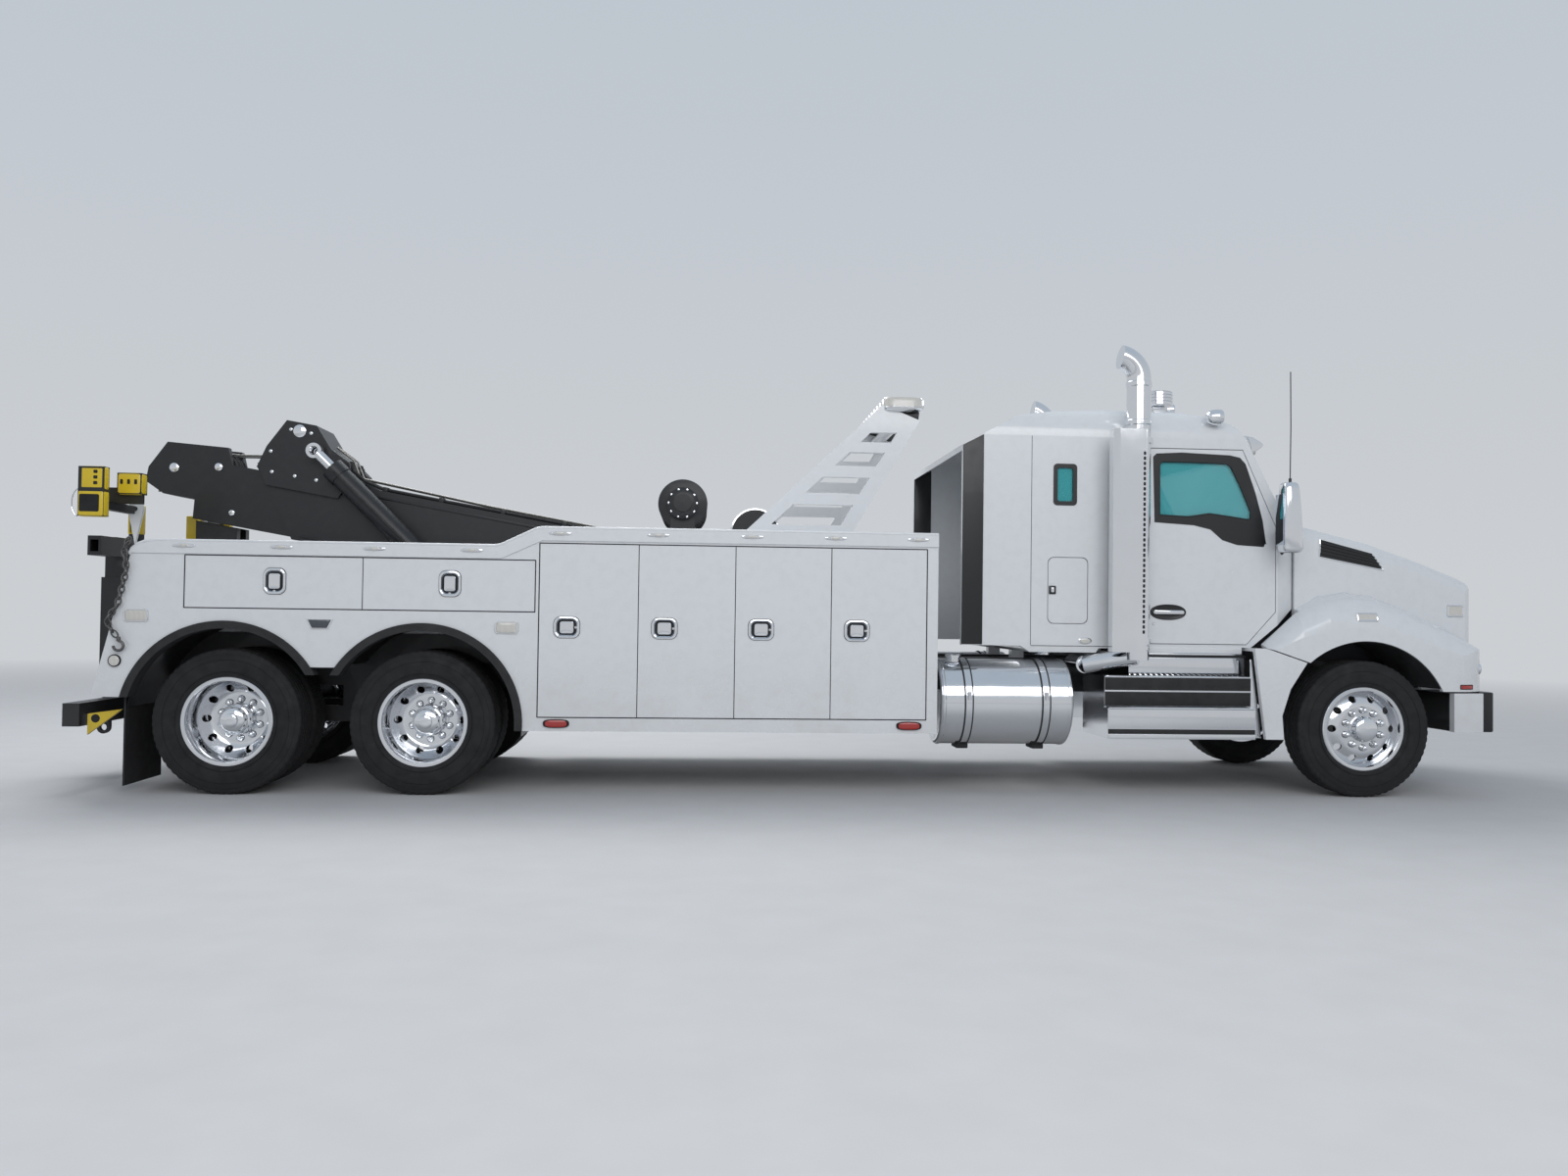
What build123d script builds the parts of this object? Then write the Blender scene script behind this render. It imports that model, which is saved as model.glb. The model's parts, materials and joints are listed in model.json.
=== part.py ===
from build123d import *
from math import cos, hypot, radians, sin
import os

# Heavy tow truck. Units are millimetres. X points forward, Y to the truck's left, Z up from the ground.
# The origin is on the ground, midway between the rearmost and the foremost point.

os.makedirs("parts", exist_ok=True)

SIDES = (("right", -1), ("left", 1))

# Driving dimensions: reach from the front axle, and the axles
rear_reach = 9800
front_reach = 1060
tandem_spacing = 1372
wheelbase = 7726
front_axle_x = (rear_reach - front_reach) / 2
tandem_x = front_axle_x - wheelbase
rear_axle_xs = (("front", tandem_x + tandem_spacing / 2), ("rear", tandem_x - tandem_spacing / 2))

# Wheels
tyre_radius = 520
tyre_width = 280
tyre_bead_radius = 300
tyre_shoulder = 45
rim_lip_radius = 324
rim_wall = 14
rim_half_width = 124
hand_hole_radius = 27
hand_hole_circle = 233
disc_plate = 18
disc_flat_radius = 180
front_disc_outset = 110
hand_hole_count = 10
wheel_centre_z = tyre_radius
front_wheel_y = 1040
rear_outer_y = 1060
dual_spacing = 343
hub_radius = 105
hub_cap_radius = 62
lug_circle = 143
lug_radius = 16
lug_count = 10
running_fit = 0.06
seat_gap = 0.3
swing_gap = 6

# Steering
kingpin_y = 880
kingpin_radius = 24
knuckle_height = 200
knuckle_radius = 48
spindle_radius = 45
front_spindle_y = front_wheel_y + 100
rear_spindle_y = rear_outer_y + 60
axle_beam_size = 110

# Frame rails
rail_outer_y = 430
rail_height = 270
rail_flange = 85
rail_plate = 10
rail_top_z = 1010
rail_front_x = front_axle_x + 760
rail_rear_x = front_axle_x - 9260
crossmember_count = 10
crossmember_size = 120

# Engine, a closed block
engine_length = 1210
engine_width = 700
engine_height = 720
engine_front_x = front_axle_x + 755
engine_bottom_z = 640
engine_gap = 10

# Cab: heights and stations
cab_half_width = 1050
cab_wall = 60
cab_side_gap = 10
door_leaf = 44
screen_half_width = 880
cab_rear_x = front_axle_x - 1800
cab_floor_z = 1126
roof_z = 2965
cowl_x = front_axle_x - 470
door_rear_x = front_axle_x - 1640
door_front_x = front_axle_x - 639
door_top_z = 2650
door_cut_x = front_axle_x - 869
door_cut_z = 1400
door_pillar_x = front_axle_x - 905
door_pillar_z = 2120
window_bottom_rear_z = 2092
window_bottom_front_z = 1925
screen_top_x = front_axle_x - 877
screen_top_z = 2720
screen_base_x = front_axle_x - 553
screen_base_z = 2090
screen_margin = 70
brow_x, brow_z = front_axle_x - 925, 2805
roof_front_x, roof_front_z = front_axle_x - 1240, 2925
roof_flat_x = front_axle_x - 1500
cab_corner_x = front_axle_x - 625
cowl_half_width = 960
glass_thickness = 8

# Sleeper
sleeper_half_width = 1060
sleeper_rear_x = front_axle_x - 2600
extender_rear_x = front_axle_x - 3091
extender_plate = 40
sleeper_roof = ((front_axle_x - 2378, 2925), (front_axle_x - 2641, 2886), (extender_rear_x, 2645))
sleeper_bottom_z = 1110
roof_round = 110
luggage_span_x = (front_axle_x - 2433, front_axle_x - 2118)
luggage_span_z = (1291, 1800)
side_window_x = (front_axle_x - 2371, front_axle_x - 2232)
side_window_z = (2214, 2488)

# Hood, as sections across the truck: station, half width, shoulder height, crown height
hood_wall = 40
hood_rear_x = cowl_x + 10
hood_front_x = front_axle_x + 1045
hood_rear_half = 985
hood_front_half = 925
hood_sections = (
    (hood_rear_x, hood_rear_half, 2103, 2133),
    (front_axle_x + 197, 958, 1953, 1987),
    (front_axle_x + 601, 942, 1822, 1856),
    (front_axle_x + 918, 930, 1706, 1738),
    (front_axle_x + 1000, 927, 1668, 1698),
    (hood_front_x, hood_front_half, 1605, 1632),
)
hood_hollow_shift = (-50, 0, 0, 0, -35, -hood_wall)
hood_shoulder = 120
hood_corner = 120
hood_bottom_z = 812
hood_hinge_x = front_axle_x + 1040
hood_hinge_z = 825
hood_pin_radius = 10
hood_lug_radius = 18
hood_lug_width = 30
hood_lug_y = 330

# Front fenders, as sections across the truck: station, half width, crown height, fall of the crown to the side
fender_root_y = 870
fender_crown_y = 946
fender_arch_radius = 670
fender_arch_y = 640
fender_half_width = 1215
fender_rear_x = front_axle_x - 900
fender_sections = (
    (front_axle_x - 758, 1208, 1150, 60),
    (front_axle_x - 494, 1213, 1404, 190),
    (front_axle_x - 280, fender_half_width, 1530, 270),
    (front_axle_x - 61, fender_half_width, 1569, 300),
    (front_axle_x + 160, fender_half_width, 1538, 290),
    (front_axle_x + 374, fender_half_width, 1451, 250),
    (front_axle_x + 720, 1212, 1290, 190),
    (hood_front_x, 1200, 1110, 110),
)
fender_corner = 330
fender_skin = 40
fender_seam = ((front_axle_x - 800, 1140), (front_axle_x - 430, 1017))
headlamp_y = (940, 1130)
headlamp_z = (905, 1065)

# Bumper
bumper_front_x = front_axle_x + front_reach
bumper_bottom_z = 505
bumper_top_z = 800
bumper_return_x = front_axle_x + 690
bumper_plate = 60
bumper_half_width = 1215

# Fuel tanks, steps and exhausts
tank_span_x = (front_axle_x - 3260, front_axle_x - 2277)
tank_radius = 325
tank_centre_z = 692
tank_outer_y = 1220
strap_width = 60
strap_plate = 6
step_span_x = (front_axle_x - 2015, front_axle_x - 880)
step_bottom_z = 440
step_middle_z = 671
step_top_z = 903
step_low_y = 1230
step_high_y = 1150
stack_x = front_axle_x - 1785
stack_y = 1200
stack_radius = 90
stack_top_z = 3399
stack_bend_radius = 173
stack_bend_angle = 80
shield_span_z = (1089, 2753)
shield_span_x = (front_axle_x - 2000, front_axle_x - 1757)
shield_bend = 38
shield_return_y = 1180
shield_gap = 12
shield_plate = 8

# Tool body
body_half_width = 1270
body_inner_y = 560
body_front_x = front_axle_x - 3312
body_bottom_z = 475
body_high_z = 1940
body_low_z = 1805
ramp_x = (front_axle_x - 6510, front_axle_x - 6218)
body_rear_bottom_x = front_axle_x - 9309
body_rear_bottom_z = 695
body_rear_top_x = front_axle_x - 9061
body_corner_x = front_axle_x - 8884
body_corner_z = 1701
arch_radius = 720
arch_valley_z = 916
body_wall = 30
body_rail_height = 95
body_rail_proud = 12
door_plate = 30
door_lap = 22
door_gap = 3
deck_z = 1150
deck_plate = 60
tall_door_xs = tuple(front_axle_x - away for away in (6215, 5505, 4804, 4102, 3396))
tall_door_z = (575, 1825)
lid_xs = tuple(front_axle_x - away for away in (8688, 7459, 6245))
lid_z = (1330, 1700)
compartment_depth = 600
lid_compartment_depth = 560

# Wheel flares and mudflaps
flare_band = 55
flare_proud = 15
flare_depth = 110
flap_plate = 12
flap_inset = 8
flap_bottom_z = 60

# Light pylon and light bar
pylon_y = 610
pylon_plate = 60
pylon_member = 95
pylon_rear_foot_x = front_axle_x - 4760
pylon_front_foot_x = front_axle_x - 3900
pylon_top_rear = (front_axle_x - 3645, 3000)
pylon_top_front = (front_axle_x - 3346, 2881)
pylon_windows = ((2040, 2200), (2290, 2420), (2510, 2620), (2700, 2780))
light_bar_height = 70
light_bar_half_length = 700

# Boom and its lift
boom_pivot_x = front_axle_x - 5250
boom_pivot_z = 1650
boom_rise = 9.9
boom_width = 380
boom_high = 215
boom_low = -300
boom_tail_low = -205
boom_taper_s = (260, 950)
boom_wall = 14
boom_tail = 200
boom_reach = 3430
boom_slant = 370
boom_slide_gap = 5
boom_stroke = 1500
inner_tail = 1100
head_start = 3400
head_end = 4262
head_lip = (3850, -128)
boom_rest_x = (front_axle_x - 9080, front_axle_x - 8760)
boom_rest_y = (60, 130)
boom_rest_gap = 10
boom_pin_radius = 55
lift_top_s = 2975
lift_top_t = 420
lift_foot_x = front_axle_x - 6830
lift_foot_z = 1330
lift_y = 320
barrel_radius = 85
rod_radius = 42
lift_eye_radius = 75
lift_eye_width = 70
lift_pin_radius = 35
lift_rod_stroke = 845

# Winches
winch_x = front_axle_x - 5207
winch_z = 2200
winch_flange_radius = 195
winch_drum_radius = 120
winch_span_y = (225, 475)
winch_flange = 20
winch_stand = 16

# Underlift
under_pivot_x = front_axle_x - 9560
under_pivot_z = 560
under_pin_radius = 40
mast_half_width = 125
mast_wall = 14
mast_rear_x = front_axle_x - rear_reach
mast_front_x = front_axle_x - 9590
mast_top_z = 1560
under_slide_gap = 4
under_stroke = 800
under_head_z = 1700
crossbar_half_length = 560
crossbar_size = 150
crossbar_z = 1790
crossbar_x = (front_axle_x - 9699.7, front_axle_x - 9600)

# Grille and lamps
grille_half_width = 430
grille_bottom_z = 900
grille_top_z = 1540
grille_bar_count = 17
# Body lamps: X from the front axle, Z, length, height
body_lamp_table = (
    (-9010, 1270, 170, 85), (-6440, 1215, 170, 85), (-7750, 1225, 190, 70), (-9150, 950, 90, 90),
    (-6080, 530, 190, 62), (-3520, 530, 190, 62),
)


def save(builder, name):
    """Label a finished piece and write it."""
    builder.part.label = name
    export_step(builder.part, f"parts/{name}.step")


def block(x_span, y_span, z_span, mode=Mode.ADD):
    """A box between two values on each axis."""
    middle = ((x_span[0] + x_span[1]) / 2, (y_span[0] + y_span[1]) / 2, (z_span[0] + z_span[1]) / 2)
    with Locations(middle):
        Box(abs(x_span[1] - x_span[0]), abs(y_span[1] - y_span[0]), abs(z_span[1] - z_span[0]), mode=mode)


def side_slab(points, y_span, mode=Mode.ADD, inset=0):
    """A plate with an outline in the side view, between two Y values."""
    with BuildSketch(Plane.XZ.offset(-max(y_span))) as outline:
        with BuildLine():
            Polyline(*points, close=True)
        make_face()
        if inset:
            offset(amount=-inset, kind=Kind.INTERSECTION, mode=Mode.REPLACE)
    extrude(outline.sketch, amount=max(y_span) - min(y_span), mode=mode)


def side_disc(x, z, radius, y_span, mode=Mode.ADD):
    """A disc or a round cut across the truck, between two Y values."""
    with BuildSketch(Plane.XZ.offset(-max(y_span))) as outline:
        with Locations((x, z)):
            Circle(radius)
    extrude(outline.sketch, amount=max(y_span) - min(y_span), mode=mode)


def rod_between(start, end, radius, mode=Mode.ADD):
    """A round bar from one point to another."""
    along = Vector(*end) - Vector(*start)
    with BuildSketch(Plane(origin=start, z_dir=along)) as outline:
        Circle(radius)
    extrude(outline.sketch, amount=along.length, mode=mode)


def spans(side, near, far):
    """Two Y values on one side of the truck, as a low and a high one."""
    return (min(side * near, side * far), max(side * near, side * far))


# Frame rails: two channels and the crossmembers between their webs
with BuildPart() as frame_rails:
    rail_inner_y = rail_outer_y - rail_plate
    rail_bottom_z = rail_top_z - rail_height
    for _, side in SIDES:
        block((rail_rear_x, rail_front_x), spans(side, rail_inner_y, rail_outer_y), (rail_bottom_z, rail_top_z))
        for flange_z in (rail_bottom_z, rail_top_z - rail_plate):
            block((rail_rear_x, rail_front_x), spans(side, rail_outer_y - rail_flange, rail_outer_y),
                  (flange_z, flange_z + rail_plate))
    crossmember_pitch = (rail_front_x - rail_rear_x - crossmember_size) / (crossmember_count - 1)
    for index in range(crossmember_count):
        member_x = rail_rear_x + index * crossmember_pitch
        block((member_x, member_x + crossmember_size), (-rail_inner_y, rail_inner_y),
              (rail_bottom_z, rail_bottom_z + crossmember_size))
save(frame_rails, "frame_rails")

# Engine: one plain block that hangs between the rails
with BuildPart() as engine:
    engine_rear_x = engine_front_x - engine_length
    engine_half = rail_outer_y - rail_flange - engine_gap
    block((engine_rear_x, engine_front_x), (-engine_half, engine_half),
          (rail_bottom_z + crossmember_size, rail_bottom_z + crossmember_size + engine_height))
save(engine, "engine")

# Axles: the front beam on its springs and two rear housings with their equalising beams
with BuildPart() as axles:
    beam_half = kingpin_y - 75
    beam_z = (wheel_centre_z - 130, wheel_centre_z - 130 + axle_beam_size)
    block((front_axle_x - axle_beam_size / 2, front_axle_x + axle_beam_size / 2), (-beam_half, beam_half), beam_z)
    for _, side in SIDES:
        spring_y = spans(side, rail_outer_y - rail_flange, rail_outer_y)
        block((front_axle_x - 700, front_axle_x + 700), spring_y, (rail_bottom_z - 90, rail_bottom_z - 30))
        block((front_axle_x - 60, front_axle_x + 60), spring_y, (beam_z[0], rail_bottom_z - 90))
        for end_x in (front_axle_x - 660, front_axle_x + 660):
            block((end_x - 40, end_x + 40), spring_y, (rail_bottom_z - 30, rail_bottom_z))
        with Locations((front_axle_x, side * beam_half, wheel_centre_z)):
            Box(120, 40, axle_beam_size + 150)
        rod_between((front_axle_x, side * kingpin_y, wheel_centre_z - knuckle_height / 2 - 30),
                    (front_axle_x, side * kingpin_y, wheel_centre_z + knuckle_height / 2 + 30), kingpin_radius)
        for lug_z in (wheel_centre_z - knuckle_height / 2 - 30, wheel_centre_z + knuckle_height / 2 + 5):
            block((front_axle_x - 60, front_axle_x + 60), spans(side, beam_half - 20, kingpin_y + 45),
                  (lug_z, lug_z + 25))
    for _, axle_x in rear_axle_xs:
        rod_between((axle_x, -rear_spindle_y, wheel_centre_z), (axle_x, rear_spindle_y, wheel_centre_z),
                    spindle_radius)
        rod_between((axle_x, -480, wheel_centre_z), (axle_x, 480, wheel_centre_z), 85)
        with Locations((axle_x, 0, wheel_centre_z)):
            Sphere(190)
    for _, side in SIDES:
        spring_y = spans(side, rail_outer_y - rail_flange, rail_outer_y)
        block((rear_axle_xs[1][1] - 60, rear_axle_xs[0][1] + 60), spring_y,
              (wheel_centre_z - 60, wheel_centre_z + 60))
        block((tandem_x - 90, tandem_x + 90), spring_y, (wheel_centre_z + 60, rail_bottom_z))
save(axles, "axles")


def tyre(centre_y):
    """A tyre about the wheel's axis, with sloped shoulders and an open bead."""
    half = tyre_width / 2
    profile = (
        (tyre_bead_radius, -half + 30), (tyre_radius - 110, -half), (tyre_radius - tyre_shoulder, -half + 8),
        (tyre_radius, -half + tyre_shoulder), (tyre_radius, half - tyre_shoulder),
        (tyre_radius - tyre_shoulder, half - 8), (tyre_radius - 110, half), (tyre_bead_radius, half - 30),
    )
    with BuildSketch(Plane.XY) as section:
        with BuildLine():
            Polyline(*((radius, centre_y + across) for radius, across in profile), close=True)
        make_face()
    revolve(section.sketch, axis=Axis.Y)


def rim(centre_y, outset):
    """A rim barrel with its lips, and a dished disc whose hub face lies outset from the barrel's middle."""
    half = rim_half_width
    inner = tyre_bead_radius - seat_gap
    outline = (
        (inner - rim_wall, centre_y - half), (rim_lip_radius - 2, centre_y - half),
        (rim_lip_radius - 2, centre_y - half + 6), (inner, centre_y - half + 6),
        (inner, centre_y + half - 6), (rim_lip_radius - 2, centre_y + half - 6),
        (rim_lip_radius - 2, centre_y + half), (inner - rim_wall, centre_y + half),
    )
    face_y = centre_y + outset
    joint_y = centre_y + outset / 2
    plate = -disc_plate if outset > 0 else disc_plate
    dish = (
        (0, face_y), (disc_flat_radius, face_y), (inner - 2, joint_y), (inner - 2, joint_y + plate),
        (disc_flat_radius, face_y + plate), (0, face_y + plate),
    )
    for points in (outline, dish):
        with BuildSketch(Plane.XY) as section:
            with BuildLine():
                Polyline(*points, close=True)
            make_face()
        revolve(section.sketch, axis=Axis.Y)
    cut_y = (min(face_y, joint_y) - disc_plate, max(face_y, joint_y) + disc_plate)
    with BuildSketch(Plane.XZ.offset(-cut_y[1])) as holes:
        with PolarLocations(hand_hole_circle, hand_hole_count):
            Circle(hand_hole_radius)
    extrude(holes.sketch, amount=cut_y[1] - cut_y[0], mode=Mode.SUBTRACT)


def hub(face_y, end_y):
    """The hub drum between two Y values."""
    low, high = min(face_y, end_y), max(face_y, end_y)
    side_disc(0, 0, hub_radius, (low, high))


def lug_ring(y_span):
    """The ring of lug nuts on a disc."""
    with BuildSketch(Plane.XZ.offset(-y_span[1])) as lugs:
        with PolarLocations(lug_circle, lug_count):
            RegularPolygon(lug_radius, 6)
    extrude(lugs.sketch, amount=y_span[1] - y_span[0])


# Front wheels: one body each, which steers with its knuckle and turns on the spindle
for side_name, side in SIDES:
    spindle_end_y = side * front_spindle_y
    with BuildPart() as knuckle:
        rod_between((front_axle_x, side * kingpin_y, wheel_centre_z - knuckle_height / 2),
                    (front_axle_x, side * kingpin_y, wheel_centre_z + knuckle_height / 2), knuckle_radius)
        rod_between((front_axle_x, side * (kingpin_y + 40), wheel_centre_z),
                    (front_axle_x, spindle_end_y, wheel_centre_z), spindle_radius)
        rod_between((front_axle_x, side * kingpin_y, wheel_centre_z - knuckle_height),
                    (front_axle_x, side * kingpin_y, wheel_centre_z + knuckle_height),
                    kingpin_radius + running_fit, mode=Mode.SUBTRACT)
    save(knuckle, f"knuckle_{side_name}")

    with BuildPart() as wheel:
        tyre(side * front_wheel_y)
        rim(side * front_wheel_y, side * front_disc_outset)
        hub(side * (front_wheel_y - 75), side * (front_spindle_y + swing_gap))
        side_disc(0, 0, hub_cap_radius, spans(side, front_spindle_y + swing_gap, front_spindle_y + 70))
        lug_ring(spans(side, front_wheel_y + front_disc_outset - 2, front_wheel_y + front_disc_outset + 34))
        side_disc(0, 0, spindle_radius + running_fit,
                  spans(side, front_wheel_y - 100, front_spindle_y + swing_gap), mode=Mode.SUBTRACT)
    placed = wheel.part.moved(Location((front_axle_x, 0, wheel_centre_z)))
    placed.label = f"wheel_front_{side_name}"
    export_step(placed, f"parts/wheel_front_{side_name}.step")

# Twin rear wheels: both tyres, both rims and the hub are one body
for axle_name, axle_x in rear_axle_xs:
    for side_name, side in SIDES:
        with BuildPart() as wheel:
            inner_y = rear_outer_y - dual_spacing
            for centre_y in (rear_outer_y, inner_y):
                tyre(side * centre_y)
            rim(side * rear_outer_y, -side * dual_spacing / 2)
            rim(side * inner_y, side * dual_spacing / 2)
            hub(side * (inner_y - 60), side * (rear_spindle_y + swing_gap))
            side_disc(0, 0, hub_cap_radius, spans(side, rear_spindle_y + swing_gap, rear_spindle_y + 40))
            hub_face_y = rear_outer_y - dual_spacing / 2
            lug_ring(spans(side, hub_face_y + disc_plate - 2, hub_face_y + disc_plate + 34))
            side_disc(0, 0, spindle_radius + running_fit, spans(side, inner_y - 100, rear_spindle_y + swing_gap),
                      mode=Mode.SUBTRACT)
        placed = wheel.part.moved(Location((axle_x, 0, wheel_centre_z)))
        placed.label = f"wheel_{axle_name}_tandem_{side_name}"
        export_step(placed, f"parts/wheel_{axle_name}_tandem_{side_name}.step")

# Fuel tanks: a cylinder along each rail with two straps and their brackets
with BuildPart() as fuel_tanks:
    tank_y = tank_outer_y - tank_radius
    for _, side in SIDES:
        rod_between((tank_span_x[0], side * tank_y, tank_centre_z), (tank_span_x[1], side * tank_y, tank_centre_z),
                    tank_radius)
        for strap_x in (tank_span_x[0] + 200, tank_span_x[1] - 200):
            rod_between((strap_x - strap_width / 2, side * tank_y, tank_centre_z),
                        (strap_x + strap_width / 2, side * tank_y, tank_centre_z), tank_radius + strap_plate)
            block((strap_x - strap_width / 2, strap_x + strap_width / 2),
                  spans(side, rail_outer_y, tank_y - tank_radius + 60),
                  (rail_bottom_z + 20, rail_top_z - 60))
save(fuel_tanks, "fuel_tanks")

# Cab steps: a low tread and a higher box on each side, carried from the rails
with BuildPart() as cab_steps:
    for _, side in SIDES:
        block(step_span_x, spans(side, 640, step_low_y), (step_bottom_z, step_middle_z))
        block(step_span_x, spans(side, 640, step_high_y), (step_middle_z, step_top_z))
        for bracket_x in (step_span_x[0] + 100, step_span_x[1] - 200):
            block((bracket_x, bracket_x + 80), spans(side, rail_outer_y, 640), (rail_bottom_z + 20, step_top_z))
save(cab_steps, "cab_steps")

# Front bumper: a bent plate with returns at both ends, carried by the rails
with BuildPart() as front_bumper:
    bumper_sweep = 140
    with BuildSketch(Plane.XY.offset(bumper_bottom_z)) as outline:
        with BuildLine():
            Polyline((bumper_front_x, -bumper_half_width + 2 * bumper_sweep),
                     (bumper_front_x, bumper_half_width - 2 * bumper_sweep),
                     (bumper_front_x - bumper_sweep, bumper_half_width), (bumper_return_x, bumper_half_width),
                     (bumper_return_x, -bumper_half_width), (bumper_front_x - bumper_sweep, -bumper_half_width),
                     close=True)
        make_face()
    extrude(outline.sketch, amount=bumper_top_z - bumper_bottom_z)
    block((bumper_return_x, bumper_front_x - bumper_sweep - bumper_plate),
          (-bumper_half_width + bumper_plate, bumper_half_width - bumper_plate),
          (bumper_bottom_z, bumper_top_z), mode=Mode.SUBTRACT)
    for _, side in SIDES:
        block((rail_front_x, bumper_front_x - bumper_sweep - bumper_plate), spans(side, rail_outer_y - rail_flange, rail_outer_y),
              (bumper_bottom_z + 40, bumper_top_z))
        block((rail_front_x - 30, rail_front_x), spans(side, rail_outer_y - rail_flange, rail_outer_y),
              (bumper_bottom_z + 40, rail_bottom_z))
    # Ears and pins that carry the hood's hinge
    for _, side in SIDES:
        ear_far_y = hood_lug_y + hood_lug_width + swing_gap
        for ear_y in (hood_lug_y - hood_lug_width - swing_gap, ear_far_y):
            block((hood_hinge_x - hood_lug_radius, hood_hinge_x + hood_lug_radius),
                  spans(side, ear_y, ear_y + hood_lug_width), (bumper_top_z - 1, hood_hinge_z))
            side_disc(hood_hinge_x, hood_hinge_z, hood_lug_radius, spans(side, ear_y, ear_y + hood_lug_width))
        side_disc(hood_hinge_x, hood_hinge_z, hood_pin_radius,
                  spans(side, hood_lug_y - hood_lug_width - swing_gap, ear_far_y + 1))
save(front_bumper, "front_bumper")

# Exhaust stacks: a pipe up each side behind the door, bent back at the top, with a heat shield
with BuildPart() as exhaust_stacks:
    for _, side in SIDES:
        pipe_foot_z = 1030
        pipe_elbow_x = front_axle_x - 2120
        pipe_elbow_y = 1000
        bend_z = stack_top_z - stack_bend_radius - stack_radius
        rod_between((stack_x, side * stack_y, pipe_foot_z), (stack_x, side * stack_y, bend_z), stack_radius)
        rod_between((stack_x, side * stack_y, pipe_foot_z + 30), (pipe_elbow_x, side * pipe_elbow_y, pipe_foot_z - 45),
                    0.75 * stack_radius)
        with BuildSketch(Plane.XY.offset(bend_z)) as pipe:
            with Locations((stack_x, side * stack_y)):
                Circle(stack_radius)
        bend_axis = Axis((stack_x - stack_bend_radius, side * stack_y, bend_z), (0, -1, 0))
        revolve(pipe.sketch, axis=bend_axis, revolution_arc=stack_bend_angle)
        rod_between((pipe_elbow_x, side * (sleeper_half_width - 360), pipe_foot_z - 45),
                    (pipe_elbow_x, side * pipe_elbow_y, pipe_foot_z - 45), 0.75 * stack_radius)
        for bracket_z in (1300, 2560):
            block((stack_x - 30, stack_x + 30), spans(side, sleeper_half_width, stack_y), (bracket_z, bracket_z + 50))
        outer_y = stack_y + stack_radius + shield_gap + shield_plate
        with BuildSketch(Plane.XY.offset(shield_span_z[0])) as shield:
            for thin in (0, shield_plate):
                with BuildLine():
                    Polyline((shield_span_x[1], side * (outer_y - thin)),
                             (shield_span_x[0] + shield_bend, side * (outer_y - thin)),
                             (shield_span_x[0] + thin, side * (outer_y - shield_bend)),
                             (shield_span_x[0] + thin, side * shield_return_y),
                             (shield_span_x[1], side * shield_return_y), close=True)
                make_face(mode=Mode.SUBTRACT if thin else Mode.ADD)
        extrude(shield.sketch, amount=shield_span_z[1] - shield_span_z[0])
        for clamp_z in (shield_span_z[0] + 60, shield_span_z[1] - 100):
            rod_between((stack_x, side * stack_y, clamp_z), (stack_x, side * stack_y, clamp_z + 40),
                        stack_radius + shield_gap + 1)
save(exhaust_stacks, "exhaust_stacks")

# Cab and sleeper: the side, plan and front outlines that bound them
cab_side = (
    (cab_rear_x, cab_floor_z), (front_axle_x - 835, cab_floor_z), (cowl_x, 1430), (cowl_x, 1960),
    (screen_base_x, screen_base_z), (screen_top_x, screen_top_z), (brow_x, brow_z),
    (front_axle_x - 1035, 2872), (roof_front_x, roof_front_z), (roof_flat_x, roof_z), (cab_rear_x, roof_z),
)
cab_plan = (
    (cab_rear_x, cab_half_width), (cab_corner_x, cab_half_width), (cowl_x, cowl_half_width),
    (cowl_x, -cowl_half_width), (cab_corner_x, -cab_half_width), (cab_rear_x, -cab_half_width),
)


def rounded_front(half_width, floor_z, roof_z, inset):
    """The front outline of a cab: straight sides and large round upper corners."""
    with BuildSketch(Plane.YZ) as outline:
        with Locations((0, (floor_z + roof_z) / 2)):
            Rectangle(2 * half_width - 2 * inset, roof_z - floor_z - 2 * inset)
        fillet(outline.vertices().group_by(Axis.Z)[-1], radius=2.2 * roof_round - inset)
    return outline.sketch


def cab_form(inset, rear_x):
    """The cab's outer form, or the space inside it when inset by the wall."""
    side_slab(cab_side, (-cab_half_width, cab_half_width), inset=inset)
    if rear_x < cab_rear_x + inset:
        block((rear_x, cab_rear_x + inset + 1), (-cab_half_width + inset, cab_half_width - inset),
              (cab_floor_z + inset, roof_z - inset))
    front = rounded_front(cab_half_width, cab_floor_z - 200, roof_z, inset)
    extrude(front.moved(Location((rear_x, 0, 0))), amount=cowl_x - rear_x + 1, mode=Mode.INTERSECT)
    with BuildSketch(Plane.XY.offset(cab_floor_z - 1)) as plan:
        with BuildLine():
            Polyline(*cab_plan, close=True)
        make_face()
        if inset:
            offset(amount=-inset, kind=Kind.INTERSECTION, mode=Mode.REPLACE)
            with Locations((cab_rear_x, 0)):
                Rectangle(4 * inset, 2 * (cab_half_width - inset))
    extrude(plan.sketch, amount=roof_z - cab_floor_z + 2, mode=Mode.INTERSECT)


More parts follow.
